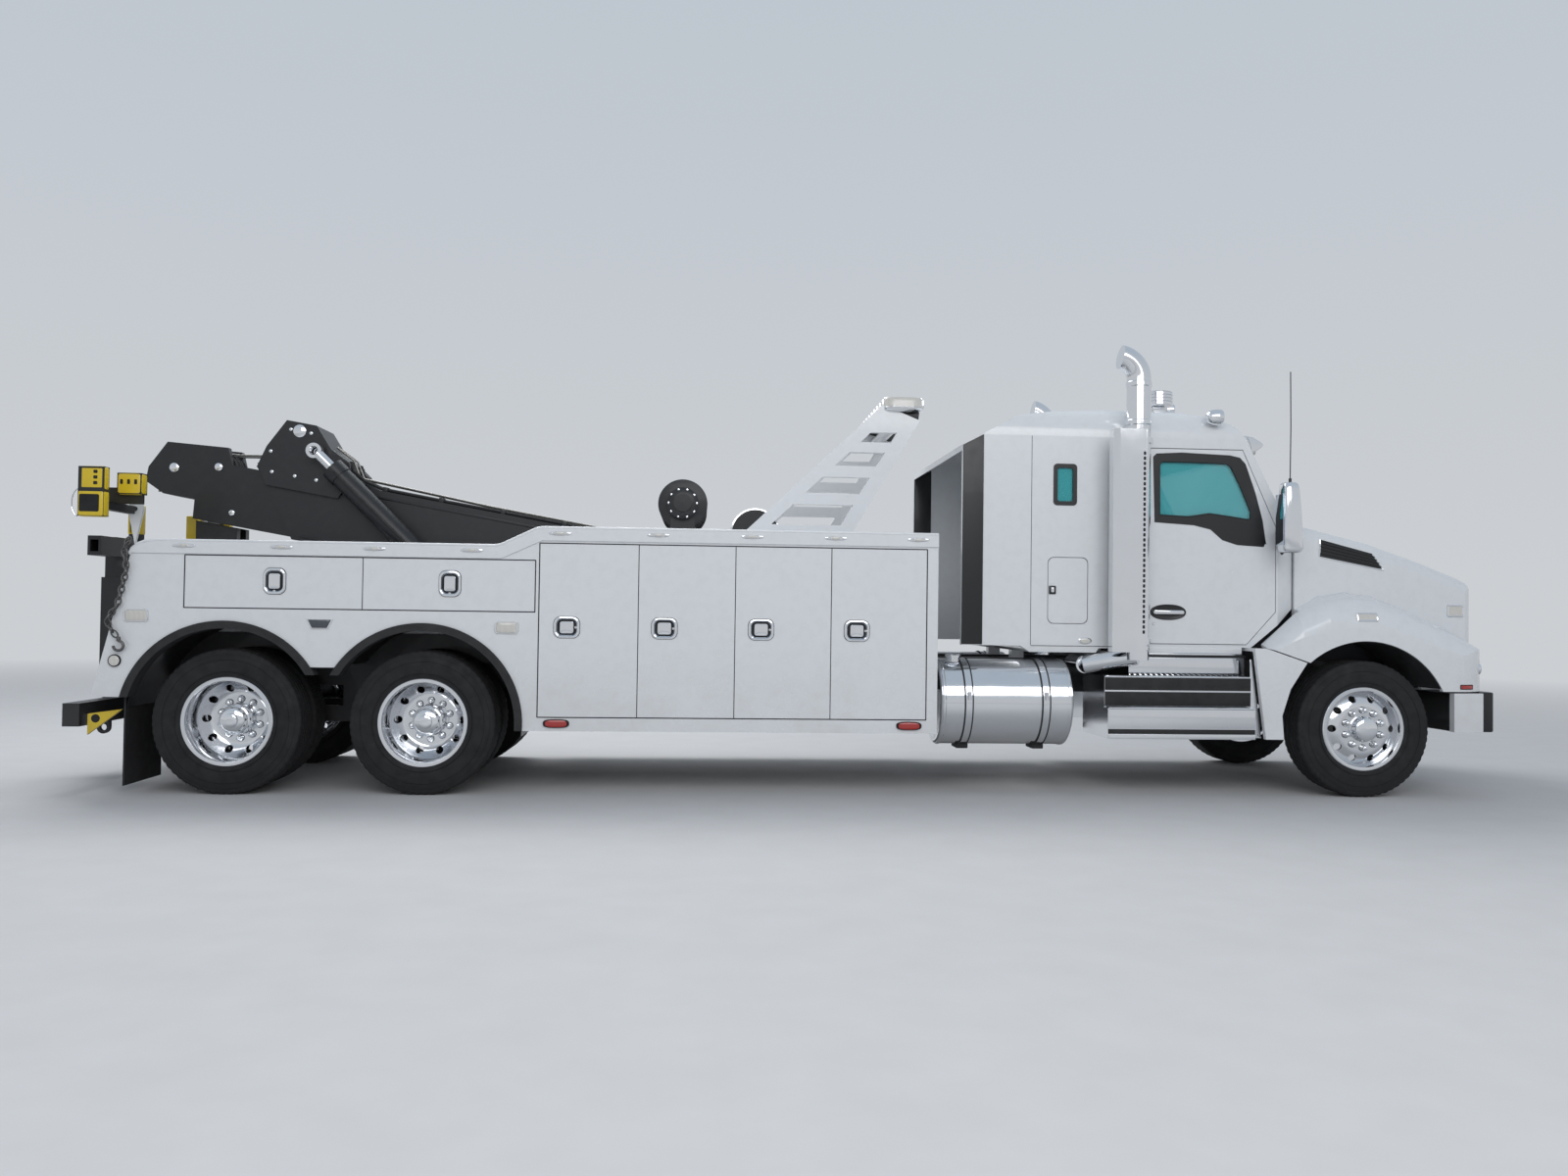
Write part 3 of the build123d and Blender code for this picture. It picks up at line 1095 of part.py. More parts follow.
with BuildPart() as lift_barrels:
    for _, side in SIDES:
        rod_between(lift_point(100, side), lift_point(barrel_length, side), barrel_radius)
        rod_between(lift_point(lift_pin_radius, side), lift_point(110, side), lift_eye_width / 2 - 1)
        rod_between(lift_point(200, side), lift_point(barrel_length + 1, side), rod_radius + running_fit,
                    mode=Mode.SUBTRACT)
        eye_y = spans(side, lift_y - lift_eye_width / 2, lift_y + lift_eye_width / 2)
        side_disc(lift_foot_x, lift_foot_z, lift_eye_radius - 10, eye_y)
        side_disc(lift_foot_x, lift_foot_z, lift_pin_radius + running_fit,
                  spans(side, lift_y - 2 * lift_eye_width, lift_y + 2 * lift_eye_width), mode=Mode.SUBTRACT)
save(lift_barrels, "lift_barrels")

with BuildPart() as lift_rods:
    for _, side in SIDES:
        rod_between(lift_point(240, side), lift_point(lift_closed - 30, side), rod_radius)
        side_disc(lift_top_x, lift_top_z, lift_eye_radius - 15,
                  spans(side, lift_y - lift_eye_width / 2, lift_y + lift_eye_width / 2))
        side_disc(lift_top_x, lift_top_z, lift_pin_radius,
                  spans(side, lift_y - lift_eye_width, lift_y + lift_eye_width), mode=Mode.SUBTRACT)
save(lift_rods, "lift_rods")

# Tailboard: the rear cross beams, uprights, underlift ears and the yellow receivers
tail_x = (front_axle_x - 9480, front_axle_x - 9440)
tail_z = (474, 638)
tow_eye_x = front_axle_x - 9500
tow_eye_z = 425
tow_eye_y = (640, 670)
tow_eye_bore = 25
tow_eye_radius = 48
with BuildPart() as tailboard:
    block(tail_x, (-1150, 1150), tail_z)
    for _, side in SIDES:
        block((front_axle_x - 9556, tail_x[1]), spans(side, 200, 1150), tail_z)
        block((tail_x[0], rail_rear_x), spans(side, rail_outer_y - rail_flange, rail_outer_y), (tail_z[0], tail_z[1]))
        block((rail_rear_x - 120, rail_rear_x), spans(side, rail_outer_y - rail_flange, rail_outer_y),
              (tail_z[0], rail_top_z))
        side_slab(((under_pivot_x - 60, under_pivot_z - 60), (under_pivot_x - 60, under_pivot_z + 60),
                   (tail_x[0] + 10, tail_z[1]), (tail_x[0] + 10, tail_z[0])),
                  spans(side, mast_half_width + swing_gap, mast_half_width + 36))
        block((front_axle_x - 9400, front_axle_x - 9320), spans(side, 480, 560), (rail_top_z - 200, 2090))
        block((front_axle_x - 9400, front_axle_x - 9320), spans(side, rail_outer_y + seat_gap, 480),
              (rail_top_z - 200, rail_top_z - 100))
        block((front_axle_x - 9400, front_axle_x - 9340), spans(side, 480, 1110), (2030, 2090))
        block((front_axle_x - 9468, front_axle_x - 9291), spans(side, 1110, 1190), (1969, 2322))
        block((front_axle_x - 9420, front_axle_x - 9340), spans(side, 1100, 1200), (2200, 2280), mode=Mode.SUBTRACT)
        block((front_axle_x - 9400, front_axle_x - 9143), spans(side, 890, 910), (2080, 2200))
        block((front_axle_x - 9313, front_axle_x - 9143), spans(side, 850, 950), (2150, 2305))
        side_slab(((front_axle_x - 9398, 560), (front_axle_x - 9169, 593), (front_axle_x - 9398, 418)),
                  spans(side, 1090, 1110))
        block((front_axle_x - 9442, front_axle_x - 9390), spans(side, 1090, 1110), (480, 560))
        block((tow_eye_x - tow_eye_radius, tow_eye_x + tow_eye_radius), spans(side, *tow_eye_y),
              (tow_eye_z, tail_z[0] + 1))
        side_disc(tow_eye_x, tow_eye_z, tow_eye_radius, spans(side, *tow_eye_y))
        side_disc(tow_eye_x, tow_eye_z, tow_eye_bore, spans(side, *tow_eye_y), mode=Mode.SUBTRACT)
    rod_between((under_pivot_x, -mast_half_width - 36, under_pivot_z),
                (under_pivot_x, mast_half_width + 36, under_pivot_z), under_pin_radius)
save(tailboard, "tailboard")

# Underlift, stowed upright: mast, sliding boom and crossbar
with BuildPart() as underlift_mast:
    mast_y = (-mast_half_width, mast_half_width)
    side_slab(((mast_rear_x, 620), (mast_rear_x, mast_top_z), (mast_front_x, mast_top_z), (mast_front_x, 640),
               (under_pivot_x + 20, under_pivot_z + 50), (under_pivot_x - 50, under_pivot_z - 20)), mast_y)
    side_disc(under_pivot_x, under_pivot_z, 58, mast_y)
    block((mast_rear_x + mast_wall, mast_front_x - mast_wall), (-mast_half_width + mast_wall, mast_half_width - mast_wall),
          (700, mast_top_z + 1), mode=Mode.SUBTRACT)
    side_disc(under_pivot_x, under_pivot_z, under_pin_radius + running_fit, (-200, 200), mode=Mode.SUBTRACT)
save(underlift_mast, "underlift_mast")

with BuildPart() as underlift_boom:
    slide_x = (mast_rear_x + mast_wall + under_slide_gap, mast_front_x - mast_wall - under_slide_gap)
    slide_y = mast_half_width - mast_wall - under_slide_gap
    block(slide_x, (-slide_y, slide_y), (720, under_head_z))
    reach = under_slide_gap - seat_gap
    block((slide_x[0] - reach, slide_x[1] + reach), (-slide_y - reach, slide_y + reach), (720, 800))
    block((mast_rear_x + 18, mast_rear_x + 100), (-slide_y, slide_y), (mast_top_z + 20, crossbar_z + 90))
    rod_between((mast_rear_x + 100, 0, crossbar_z), (crossbar_x[1] + 12, 0, crossbar_z), 30)
    block(crossbar_x, (-slide_y, slide_y), (under_head_z - 1, under_head_z + 80), mode=Mode.SUBTRACT)
    block((crossbar_x[0] - 1, mast_front_x), (-slide_y, slide_y), (under_head_z - 60, under_head_z + 10),
          mode=Mode.SUBTRACT)
save(underlift_boom, "underlift_boom")

with BuildPart() as underlift_crossbar:
    block(crossbar_x, (-crossbar_half_length, crossbar_half_length),
          (crossbar_z - crossbar_size / 2, crossbar_z + crossbar_size / 2))
    for _, side in SIDES:
        block((crossbar_x[0] + 20, crossbar_x[1] - 20),
              spans(side, crossbar_half_length - 140, crossbar_half_length + 1), (crossbar_z - 45, crossbar_z + 45),
              mode=Mode.SUBTRACT)
    rod_between((crossbar_x[0] - 1, 0, crossbar_z), (crossbar_x[1] + 1, 0, crossbar_z), 30 + running_fit,
                mode=Mode.SUBTRACT)
save(underlift_crossbar, "underlift_crossbar")


def hood_section(row, inset, bottom_z):
    """One section of the hood across the truck: upright sides, round shoulders and a crowned top."""
    station, half_width, shoulder_z, crown_z = row
    half = half_width - inset
    flat = half_width - hood_shoulder
    side_z = shoulder_z - hood_shoulder
    bend = (hood_shoulder - inset) * (1 - cos(radians(45)))
    with BuildSketch(Plane.YZ.offset(station)) as section:
        with BuildLine():
            Polyline((-half, side_z), (-half, bottom_z), (half, bottom_z), (half, side_z))
            ThreePointArc((half, side_z), (half - bend, shoulder_z - inset - bend), (flat, shoulder_z - inset))
            ThreePointArc((flat, shoulder_z - inset), (0, crown_z - inset), (-flat, shoulder_z - inset))
            ThreePointArc((-flat, shoulder_z - inset), (bend - half, shoulder_z - inset - bend), (-half, side_z))
        make_face()
    return section.sketch


def fender_section(row, inset, side):
    """One section of a fender across the truck: a crown that rounds down into an upright side."""
    station, half_width, crown_z, fall = row
    outer = half_width - inset
    crown = crown_z - inset
    middle = (fender_crown_y + (outer - fender_crown_y) * sin(radians(50)), crown - fall * (1 - cos(radians(50))))
    with BuildSketch(Plane.YZ.offset(station)) as section:
        with BuildLine():
            Polyline((side * fender_crown_y, crown), (side * fender_root_y, crown), (side * fender_root_y, 300),
                     (side * outer, 300), (side * outer, crown - fall))
            ThreePointArc((side * outer, crown - fall), (side * middle[0], middle[1]),
                          (side * fender_crown_y, crown))
        make_face()
    return section.sketch


def fender_form(inset, side):
    """A fender's outer form, or the space inside it when inset by the skin."""
    shifts = (-inset,) + (0,) * (len(fender_sections) - 2) + (-inset,)
    loft([fender_section((row[0] + shift, *row[1:]), inset, side)
          for row, shift in zip(fender_sections, shifts)], ruled=True)
    with BuildSketch(Plane.XY.offset(200)) as plan:
        with Locations(((fender_rear_x + hood_front_x - inset) / 2, 0)):
            Rectangle(hood_front_x - inset - fender_rear_x, 2 * (fender_half_width - inset))
        fillet(plan.vertices().group_by(Axis.X)[-1], radius=fender_corner - inset)
    extrude(plan.sketch, amount=1600, mode=Mode.INTERSECT)


with BuildPart() as hood_hollow:
    loft([hood_section((row[0] + shift, *row[1:]), hood_wall, hood_bottom_z - 100)
          for row, shift in zip(hood_sections, hood_hollow_shift)], ruled=True)

with BuildPart() as hood_block:
    loft([hood_section(row, 0, hood_bottom_z) for row in hood_sections], ruled=True)
    with BuildSketch(Plane.XY.offset(hood_bottom_z - 10)) as plan:
        with BuildLine():
            Polyline((hood_rear_x - 10, hood_rear_half + 4), (hood_front_x, hood_front_half + 4),
                     (hood_front_x, -hood_front_half - 4), (hood_rear_x - 10, -hood_rear_half - 4), close=True)
        make_face()
        fillet(plan.vertices().group_by(Axis.X)[-1], radius=hood_corner)
    extrude(plan.sketch, amount=1800, mode=Mode.INTERSECT)

with BuildPart() as hood_shell:
    add(hood_block.part)
    add(hood_hollow.part, mode=Mode.SUBTRACT)
    for _, side in SIDES:
        side_disc(front_axle_x, wheel_centre_z, fender_arch_radius, spans(side, fender_arch_y, fender_half_width),
                  mode=Mode.SUBTRACT)
    block((hood_front_x - hood_wall - 10, hood_front_x + 10), (-grille_half_width, grille_half_width),
          (grille_bottom_z, grille_top_z), mode=Mode.SUBTRACT)
    for _, side in SIDES:
        ear_space_x = (hood_front_x - hood_wall - 10, hood_front_x + 30)
        ear_space_z = (hood_bottom_z - 1, hood_hinge_z + hood_lug_radius + swing_gap)
        ear_space = hood_lug_width + 2 * swing_gap
        block(ear_space_x, spans(side, hood_lug_y - ear_space, hood_lug_y), ear_space_z, mode=Mode.SUBTRACT)
        block(ear_space_x, spans(side, hood_lug_y + hood_lug_width, hood_lug_y + hood_lug_width + ear_space),
              ear_space_z, mode=Mode.SUBTRACT)
        lug_y = spans(side, hood_lug_y, hood_lug_y + hood_lug_width)
        side_disc(hood_hinge_x, hood_hinge_z, hood_lug_radius, lug_y)
        side_disc(hood_hinge_x, hood_hinge_z, hood_pin_radius + running_fit, lug_y, mode=Mode.SUBTRACT)
save(hood_shell, "hood_shell")

# Front fenders: round-topped arches outside the hood, and the lamps that fill a window in each front corner
fender_parts = []
headlamp_parts = []
for _, side in SIDES:
    skin_y = spans(side, fender_arch_y, fender_half_width + 10)
    with BuildPart() as fender_outer:
        fender_form(0, side)
    with BuildPart() as fender_inner:
        fender_form(fender_skin, side)
    with BuildPart() as fender:
        add(fender_outer.part)
        add(fender_inner.part, mode=Mode.SUBTRACT)
        add(hood_block.part, mode=Mode.SUBTRACT)
        block((fender_rear_x, hood_rear_x), spans(side, fender_root_y - 10, cab_half_width + cab_side_gap),
              (200, 1700), mode=Mode.SUBTRACT)
        side_disc(front_axle_x, wheel_centre_z, fender_arch_radius, skin_y, mode=Mode.SUBTRACT)
        block((front_axle_x, hood_front_x + 10), skin_y, (200, hood_bottom_z), mode=Mode.SUBTRACT)
        side_slab((*fender_seam, (front_axle_x + 1, 700), (front_axle_x + 1, 200), (fender_rear_x, 200),
                   (fender_rear_x, fender_seam[0][1])), skin_y, mode=Mode.SUBTRACT)
        block((front_axle_x + 700, hood_front_x + 10), spans(side, *headlamp_y), headlamp_z, mode=Mode.SUBTRACT)
    fender_parts.append(fender.part)
    with BuildPart() as headlamp:
        add(fender_outer.part)
        add(fender_inner.part, mode=Mode.SUBTRACT)
        block((front_axle_x + 700, hood_front_x + 10), spans(side, headlamp_y[0] + seat_gap, headlamp_y[1] - seat_gap),
              (headlamp_z[0] + seat_gap, headlamp_z[1] - seat_gap), mode=Mode.INTERSECT)
    headlamp_parts.append(headlamp.part)
with BuildPart() as front_fenders:
    for fender_part in fender_parts:
        add(fender_part)
save(front_fenders, "front_fenders")
with BuildPart() as headlamps:
    for headlamp_part in headlamp_parts:
        add(headlamp_part)
save(headlamps, "headlamps")

# Grille: a frame with upright bars that fills the hood's front opening
with BuildPart() as grille:
    grille_x = (hood_front_x - hood_wall, hood_front_x + 10)
    block(grille_x, (-grille_half_width + seat_gap, grille_half_width - seat_gap),
          (grille_bottom_z + seat_gap, grille_top_z - seat_gap))
    bar_pitch = 2 * (grille_half_width - 40) / (grille_bar_count + 1)
    for index in range(grille_bar_count + 1):
        low_y = -grille_half_width + 40 + index * bar_pitch
        block((grille_x[0] - 1, grille_x[1] + 1), (low_y + 8, low_y + bar_pitch - 8),
              (grille_bottom_z + 45, grille_top_z - 45), mode=Mode.SUBTRACT)
save(grille, "grille")

# Marker lamps on the tool body's sides
with BuildPart() as body_lamps:
    for _, side in SIDES:
        for lamp_x, lamp_z, length, height in body_lamp_table:
            block((front_axle_x + lamp_x - length / 2, front_axle_x + lamp_x + length / 2),
                  spans(side, body_half_width, body_half_width + 14), (lamp_z - height / 2, lamp_z + height / 2))
save(body_lamps, "body_lamps")
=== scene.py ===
import json
from math import copysign, cos, pi, radians, sin, sqrt

import bmesh
import bpy
from mathutils import Matrix, Vector


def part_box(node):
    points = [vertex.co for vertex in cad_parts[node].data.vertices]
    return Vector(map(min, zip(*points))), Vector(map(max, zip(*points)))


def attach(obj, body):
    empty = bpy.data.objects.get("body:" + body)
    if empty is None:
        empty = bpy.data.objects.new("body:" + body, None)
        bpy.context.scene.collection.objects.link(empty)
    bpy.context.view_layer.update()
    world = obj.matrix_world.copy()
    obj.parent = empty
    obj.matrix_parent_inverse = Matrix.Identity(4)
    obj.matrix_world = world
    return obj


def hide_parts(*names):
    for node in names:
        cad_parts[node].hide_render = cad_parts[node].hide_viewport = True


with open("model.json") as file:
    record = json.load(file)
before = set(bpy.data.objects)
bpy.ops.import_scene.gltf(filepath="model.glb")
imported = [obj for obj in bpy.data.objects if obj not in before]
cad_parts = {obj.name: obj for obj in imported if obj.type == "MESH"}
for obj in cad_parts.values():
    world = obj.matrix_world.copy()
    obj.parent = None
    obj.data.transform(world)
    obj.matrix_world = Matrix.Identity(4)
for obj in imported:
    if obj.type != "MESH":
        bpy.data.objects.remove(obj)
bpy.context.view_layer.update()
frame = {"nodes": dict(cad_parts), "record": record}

# Heavy tow truck. Units are metres. X points forward, Y to the truck's left, Z up from the ground.
# Places in side view are given as (distance behind the front axle, height).

SIDES = (("right", -1), ("left", 1))
BOTH = (-1, 1)

tyre_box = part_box("wheel_front_right")
wheel_radius = (tyre_box[1][2] - tyre_box[0][2]) / 2
wheel_z = (tyre_box[0][2] + tyre_box[1][2]) / 2
front_axle_x = (tyre_box[0][0] + tyre_box[1][0]) / 2
scene = bpy.context.scene


def station(behind):
    """X of a place that lies this far behind the front axle."""
    return front_axle_x - behind


def placed(outline):
    """(Behind, height) points as (X, Z) points."""
    return [(station(behind), z) for behind, z in outline]


def at_y(path, y):
    """(Behind, height) points as places at one Y."""
    return [(station(behind), y, z) for behind, z in path]


def two(side, first, second):
    """Two distances from the middle as Y values on one side, the lower first."""
    return sorted((side * first, side * second))


# Materials

def material(name):
    """A new node material with its tree and its shader."""
    made = bpy.data.materials.new(name)
    made.use_nodes = True
    tree = made.node_tree
    shader = tree.nodes["Principled BSDF"]
    return made, tree, shader


def link(tree, source, target):
    tree.links.new(source, target)


def object_point(tree):
    """The object's own coordinates, which move with the piece."""
    return tree.nodes.new("ShaderNodeTexCoord").outputs["Object"]


def noise(tree, scale, detail=3.0):
    """A noise value over the object's own coordinates."""
    node = tree.nodes.new("ShaderNodeTexNoise")
    node.inputs["Scale"].default_value = scale
    node.inputs["Detail"].default_value = detail
    node.inputs["Roughness"].default_value = 0.55
    link(tree, object_point(tree), node.inputs["Vector"])
    return node.outputs["Fac"]


def ramp(tree, value, stops):
    """A colour ramp with the given (position, grey or colour) stops."""
    node = tree.nodes.new("ShaderNodeValToRGB")
    elements = node.color_ramp.elements
    while len(elements) < len(stops):
        elements.new(0.5)
    for element, (place, colour) in zip(elements, stops):
        element.position = place
        element.color = (*colour, 1) if isinstance(colour, tuple) else (colour, colour, colour, 1)
    link(tree, value, node.inputs["Fac"])
    return node.outputs["Color"]


def mix(tree, factor, first, second):
    """Two colours mixed by a value; each is a colour or a socket."""
    node = tree.nodes.new("ShaderNodeMix")
    node.data_type = "RGBA"
    for name, given in (("Factor", factor), ("A", first), ("B", second)):
        if isinstance(given, bpy.types.NodeSocket):
            link(tree, given, node.inputs[name])
        elif isinstance(given, tuple):
            node.inputs[name].default_value = (*given, 1)
        else:
            node.inputs[name].default_value = given
    return node.outputs["Result"]


def maths(tree, operation, first, second, clamp=False):
    """Two values joined by an operation; each is a number or a socket."""
    node = tree.nodes.new("ShaderNodeMath")
    node.operation = operation
    node.use_clamp = clamp
    for socket, given in zip(node.inputs, (first, second)):
        if isinstance(given, bpy.types.NodeSocket):
            link(tree, given, socket)
        else:
            socket.default_value = given
    return node.outputs[0]


def remap(tree, value, low, high, to_low, to_high):
    """A value brought from one range to another, held at its ends."""
    node = tree.nodes.new("ShaderNodeMapRange")
    for name, given in (("From Min", low), ("From Max", high), ("To Min", to_low), ("To Max", to_high)):
        node.inputs[name].default_value = given
    link(tree, value, node.inputs["Value"])
    return node.outputs["Result"]


def height(tree):
    """The object's own Z, the height above the ground at rest."""
    node = tree.nodes.new("ShaderNodeSeparateXYZ")
    link(tree, object_point(tree), node.inputs["Vector"])
    return node.outputs["Z"]


def bump(tree, shader, value, strength, distance):
    node = tree.nodes.new("ShaderNodeBump")
    node.inputs["Strength"].default_value = strength
    node.inputs["Distance"].default_value = distance
    link(tree, value, node.inputs["Height"])
    link(tree, node.outputs["Normal"], shader.inputs["Normal"])


def coating(shader, weight, rough):
    shader.inputs["Coat Weight"].default_value = weight
    shader.inputs["Coat Roughness"].default_value = rough


def paint(name, colour, dust, rough=0.22, coat=0.6):
    """Gloss paint with a faint orange peel and road dust that thickens towards the ground."""
    made, tree, shader = material(name)
    low = remap(tree, height(tree), 0.35, 1.15, 1.0, 0.0)
    patches = ramp(tree, noise(tree, 2.3, 6.0), ((0.35, 0.0), (0.75, 1.0)))
    film = maths(tree, "MULTIPLY", maths(tree, "MULTIPLY", low, patches), 0.30)
    fleck = ramp(tree, noise(tree, 14.0, 5.0), ((0.45, 0.0), (0.8, 0.10)))
    cover = maths(tree, "ADD", film, fleck, clamp=True)
    link(tree, mix(tree, cover, colour, dust), shader.inputs["Base Color"])
    link(tree, remap(tree, cover, 0.0, 0.5, rough, 0.6), shader.inputs["Roughness"])
    coating(shader, coat, 0.06)
    bump(tree, shader, noise(tree, 160.0, 2.0), 0.05, 0.0004)
    return made


def metal(name, colour, rough, smear=0.12, scale=9.0, spots=0.0):
    """Bare metal whose polish varies, with faint smears and spots."""
    made, tree, shader = material(name)
    shader.inputs["Metallic"].default_value = 1.0
    wave = noise(tree, scale, 5.0)
    darker = tuple(0.72 * part for part in colour)
    link(tree, mix(tree, ramp(tree, wave, ((0.3, 0.0), (0.8, 0.15 + spots))), colour, darker),
         shader.inputs["Base Color"])
    link(tree, remap(tree, wave, 0.2, 0.8, max(rough - smear / 2, 0.02), rough + smear),
         shader.inputs["Roughness"])
    bump(tree, shader, noise(tree, scale * 12, 3.0), 0.03, 0.0002)
    return made


def plain(name, colour, rough, grain=60.0, depth=0.0006, coat=0.0):
    """A moulded or painted surface with a fine grain and a little variation of colour."""
    made, tree, shader = material(name)
    darker = tuple(0.75 * part for part in colour)
    link(tree, mix(tree, noise(tree, 5.0, 5.0), colour, darker), shader.inputs["Base Color"])
    link(tree, remap(tree, noise(tree, 11.0, 4.0), 0.2, 0.8, rough * 0.8, min(rough * 1.2, 1.0)),
         shader.inputs["Roughness"])
    shader.inputs["Coat Weight"].default_value = coat
    bump(tree, shader, noise(tree, grain, 3.0), 0.35, depth)
    return made


def lens(name, colour):
    """A ribbed lamp lens over a bright reflector."""
    made, tree, shader = material(name)
    wave = tree.nodes.new("ShaderNodeTexWave")
    wave.inputs["Scale"].default_value = 38.0
    wave.bands_direction = "X"
    link(tree, object_point(tree), wave.inputs["Vector"])
    darker = tuple(0.55 * part for part in colour)
    link(tree, mix(tree, wave.outputs["Fac"], colour, darker), shader.inputs["Base Color"])
    shader.inputs["Roughness"].default_value = 0.12
    coating(shader, 0.8, 0.03)
    bump(tree, shader, wave.outputs["Fac"], 0.4, 0.001)
    return made


def glass(name, colour, clear):
    """Tinted glass that shows what is behind it."""
    made, tree, shader = material(name)
    link(tree, mix(tree, noise(tree, 1.5, 2.0), colour, tuple(0.9 * part for part in colour)),
         shader.inputs["Base Color"])
    shader.inputs["Roughness"].default_value = 0.03
    shader.inputs["Alpha"].default_value = clear
    coating(shader, 0.5, 0.02)
    return made


def woven(name, colour):
    """Seat cloth: crossed threads with a fuzzy sheen."""
    made, tree, shader = material(name)
    threads = []
    for direction in ("X", "Z"):
        wave = tree.nodes.new("ShaderNodeTexWave")
        wave.bands_direction = direction
        wave.inputs["Scale"].default_value = 130.0
        link(tree, object_point(tree), wave.inputs["Vector"])
        threads.append(wave.outputs["Fac"])
    weave = maths(tree, "MULTIPLY", *threads)
    link(tree, mix(tree, weave, tuple(0.6 * part for part in colour), colour), shader.inputs["Base Color"])
    shader.inputs["Roughness"].default_value = 0.9
    shader.inputs["Sheen Weight"].default_value = 0.3
    bump(tree, shader, weave, 0.5, 0.0015)
    return made


white_paint = paint("white_paint", (0.74, 0.76, 0.78), (0.40, 0.36, 0.31))
boom_black = paint("boom_black", (0.009, 0.010, 0.012), (0.07, 0.067, 0.06), rough=0.44, coat=0.10)
chassis_black = plain("chassis_black", (0.03, 0.03, 0.032), 0.5, coat=0.15)
chrome = metal("chrome", (0.82, 0.83, 0.85), 0.07, smear=0.06, scale=6.0)
polished = metal("polished", (0.78, 0.79, 0.81), 0.10, smear=0.06, scale=5.0)
# Dark bluish metal for the latch dishes' floor: painted shade in the recess and a painted sky reflection on chrome.
painted_dish_shade_and_reflection = metal("painted_dish_shade_and_reflection", (0.24, 0.28, 0.34), 0.10)
drilled = metal("drilled", (0.5, 0.5, 0.51), 0.4, smear=0.2, scale=14.0)
cast_iron = plain("engine", (0.10, 0.10, 0.11), 0.6, grain=40.0, depth=0.002)
rubber = plain("rubber", (0.022, 0.022, 0.023), 0.75, grain=90.0, depth=0.0008)
tyre_rubber = plain("tyre", (0.012, 0.012, 0.013), 0.80, grain=70.0, depth=0.0007)
interior = plain("interior", (0.045, 0.045, 0.05), 0.6, grain=220.0)
seat_cloth = woven("seat", (0.07, 0.07, 0.08))
tinted = glass("glass", (0.07, 0.60, 0.64), 0.46)
lamp_clear = lens("lamp", (0.82, 0.80, 0.74))
lamp_amber = lens("lamp_amber", (0.78, 0.30, 0.03))
lamp_red = lens("lamp_red", (0.50, 0.02, 0.015))
yellow = paint("yellow_paint", (0.72, 0.52, 0.02), (0.2, 0.16, 0.1), rough=0.35, coat=0.2)
dark_gap = plain("dark_gap", (0.012, 0.012, 0.013), 0.8)
black_trim = plain("black_trim", (0.009, 0.009, 0.010), 0.38, grain=120.0, depth=0.0003, coat=0.1)
smoked = lens("smoked", (0.06, 0.07, 0.09))
mirror_glass = metal("mirror_glass", (0.55, 0.60, 0.66), 0.03, smear=0.02)
cable = metal("cable", (0.30, 0.29, 0.27), 0.45, scale=40.0)
chain_steel = metal("chain", (0.16, 0.155, 0.15), 0.5, scale=25.0, spots=0.2)

by_slot = {
    "white_paint": white_paint, "boom_black": boom_black, "chassis_black": chassis_black, "chrome": chrome,
    "polished": polished, "engine": cast_iron, "glass": tinted, "interior": interior, "seat": seat_cloth,
    "lamp": lamp_clear, "rubber": rubber, "tyre": tyre_rubber,
}
slot_of = {row["node"]: row["material_slot"] for row in frame["record"]["subparts"]}
for node_name, node in frame["nodes"].items():
    node.data.materials.clear()
    node.data.materials.append(by_slot[slot_of[node_name]])


# Mesh helpers

def rounded(low_a, low_b, high_a, high_b, radius, steps=5):
    """Points round a rectangle with round corners."""
    points = []
    corners = ((high_a - radius, high_b - radius), (low_a + radius, high_b - radius),
               (low_a + radius, low_b + radius), (high_a - radius, low_b + radius))
    for quarter, (centre_a, centre_b) in enumerate(corners):
        for step in range(steps + 1):
            turn = pi / 2 * (quarter + step / steps)
            points.append((centre_a + radius * cos(turn), centre_b + radius * sin(turn)))
    return points


def block(half_a, half_b, radius, steps=5):
    """Points round a rectangle with round corners about its own middle."""
    return rounded(-half_a, -half_b, half_a, half_b, radius, steps)


def oval(half_a, half_b, power=2.6, steps=40):
    """Points round an oval whose corners fill out as its power grows."""
    points = []
    for step in range(steps):
        turn = 2 * pi * step / steps
        points.append((half_a * copysign(abs(cos(turn)) ** (2 / power), cos(turn)),
                       half_b * copysign(abs(sin(turn)) ** (2 / power), sin(turn))))
    return points


def frame_outline(low, high, grow, radius):
    """A rectangle in side view between two (X, Z) corners, grown by a margin."""
    return rounded(low[0] - grow, low[1] - grow, high[0] + grow, high[1] + grow, radius)


def strip_faces(rows, count, closed):
    """Faces that join rows of points, each row to the next; closed joins each row's last point to its first."""
    faces = []
    for row in range(rows - 1):
        for step in range(count if closed else count - 1):
            after = (step + 1) % count
            faces.append((row * count + step, row * count + after, (row + 1) * count + after,
                          (row + 1) * count + step))
    return faces


# A point of (first, second) square to an axis, and its place along that axis, as X, Y and Z
square_to = {
    "X": lambda first, second, along: (along, first, second),
    "Y": lambda first, second, along: (first, along, second),
    "Z": lambda first, second, along: (first, second, along),
}


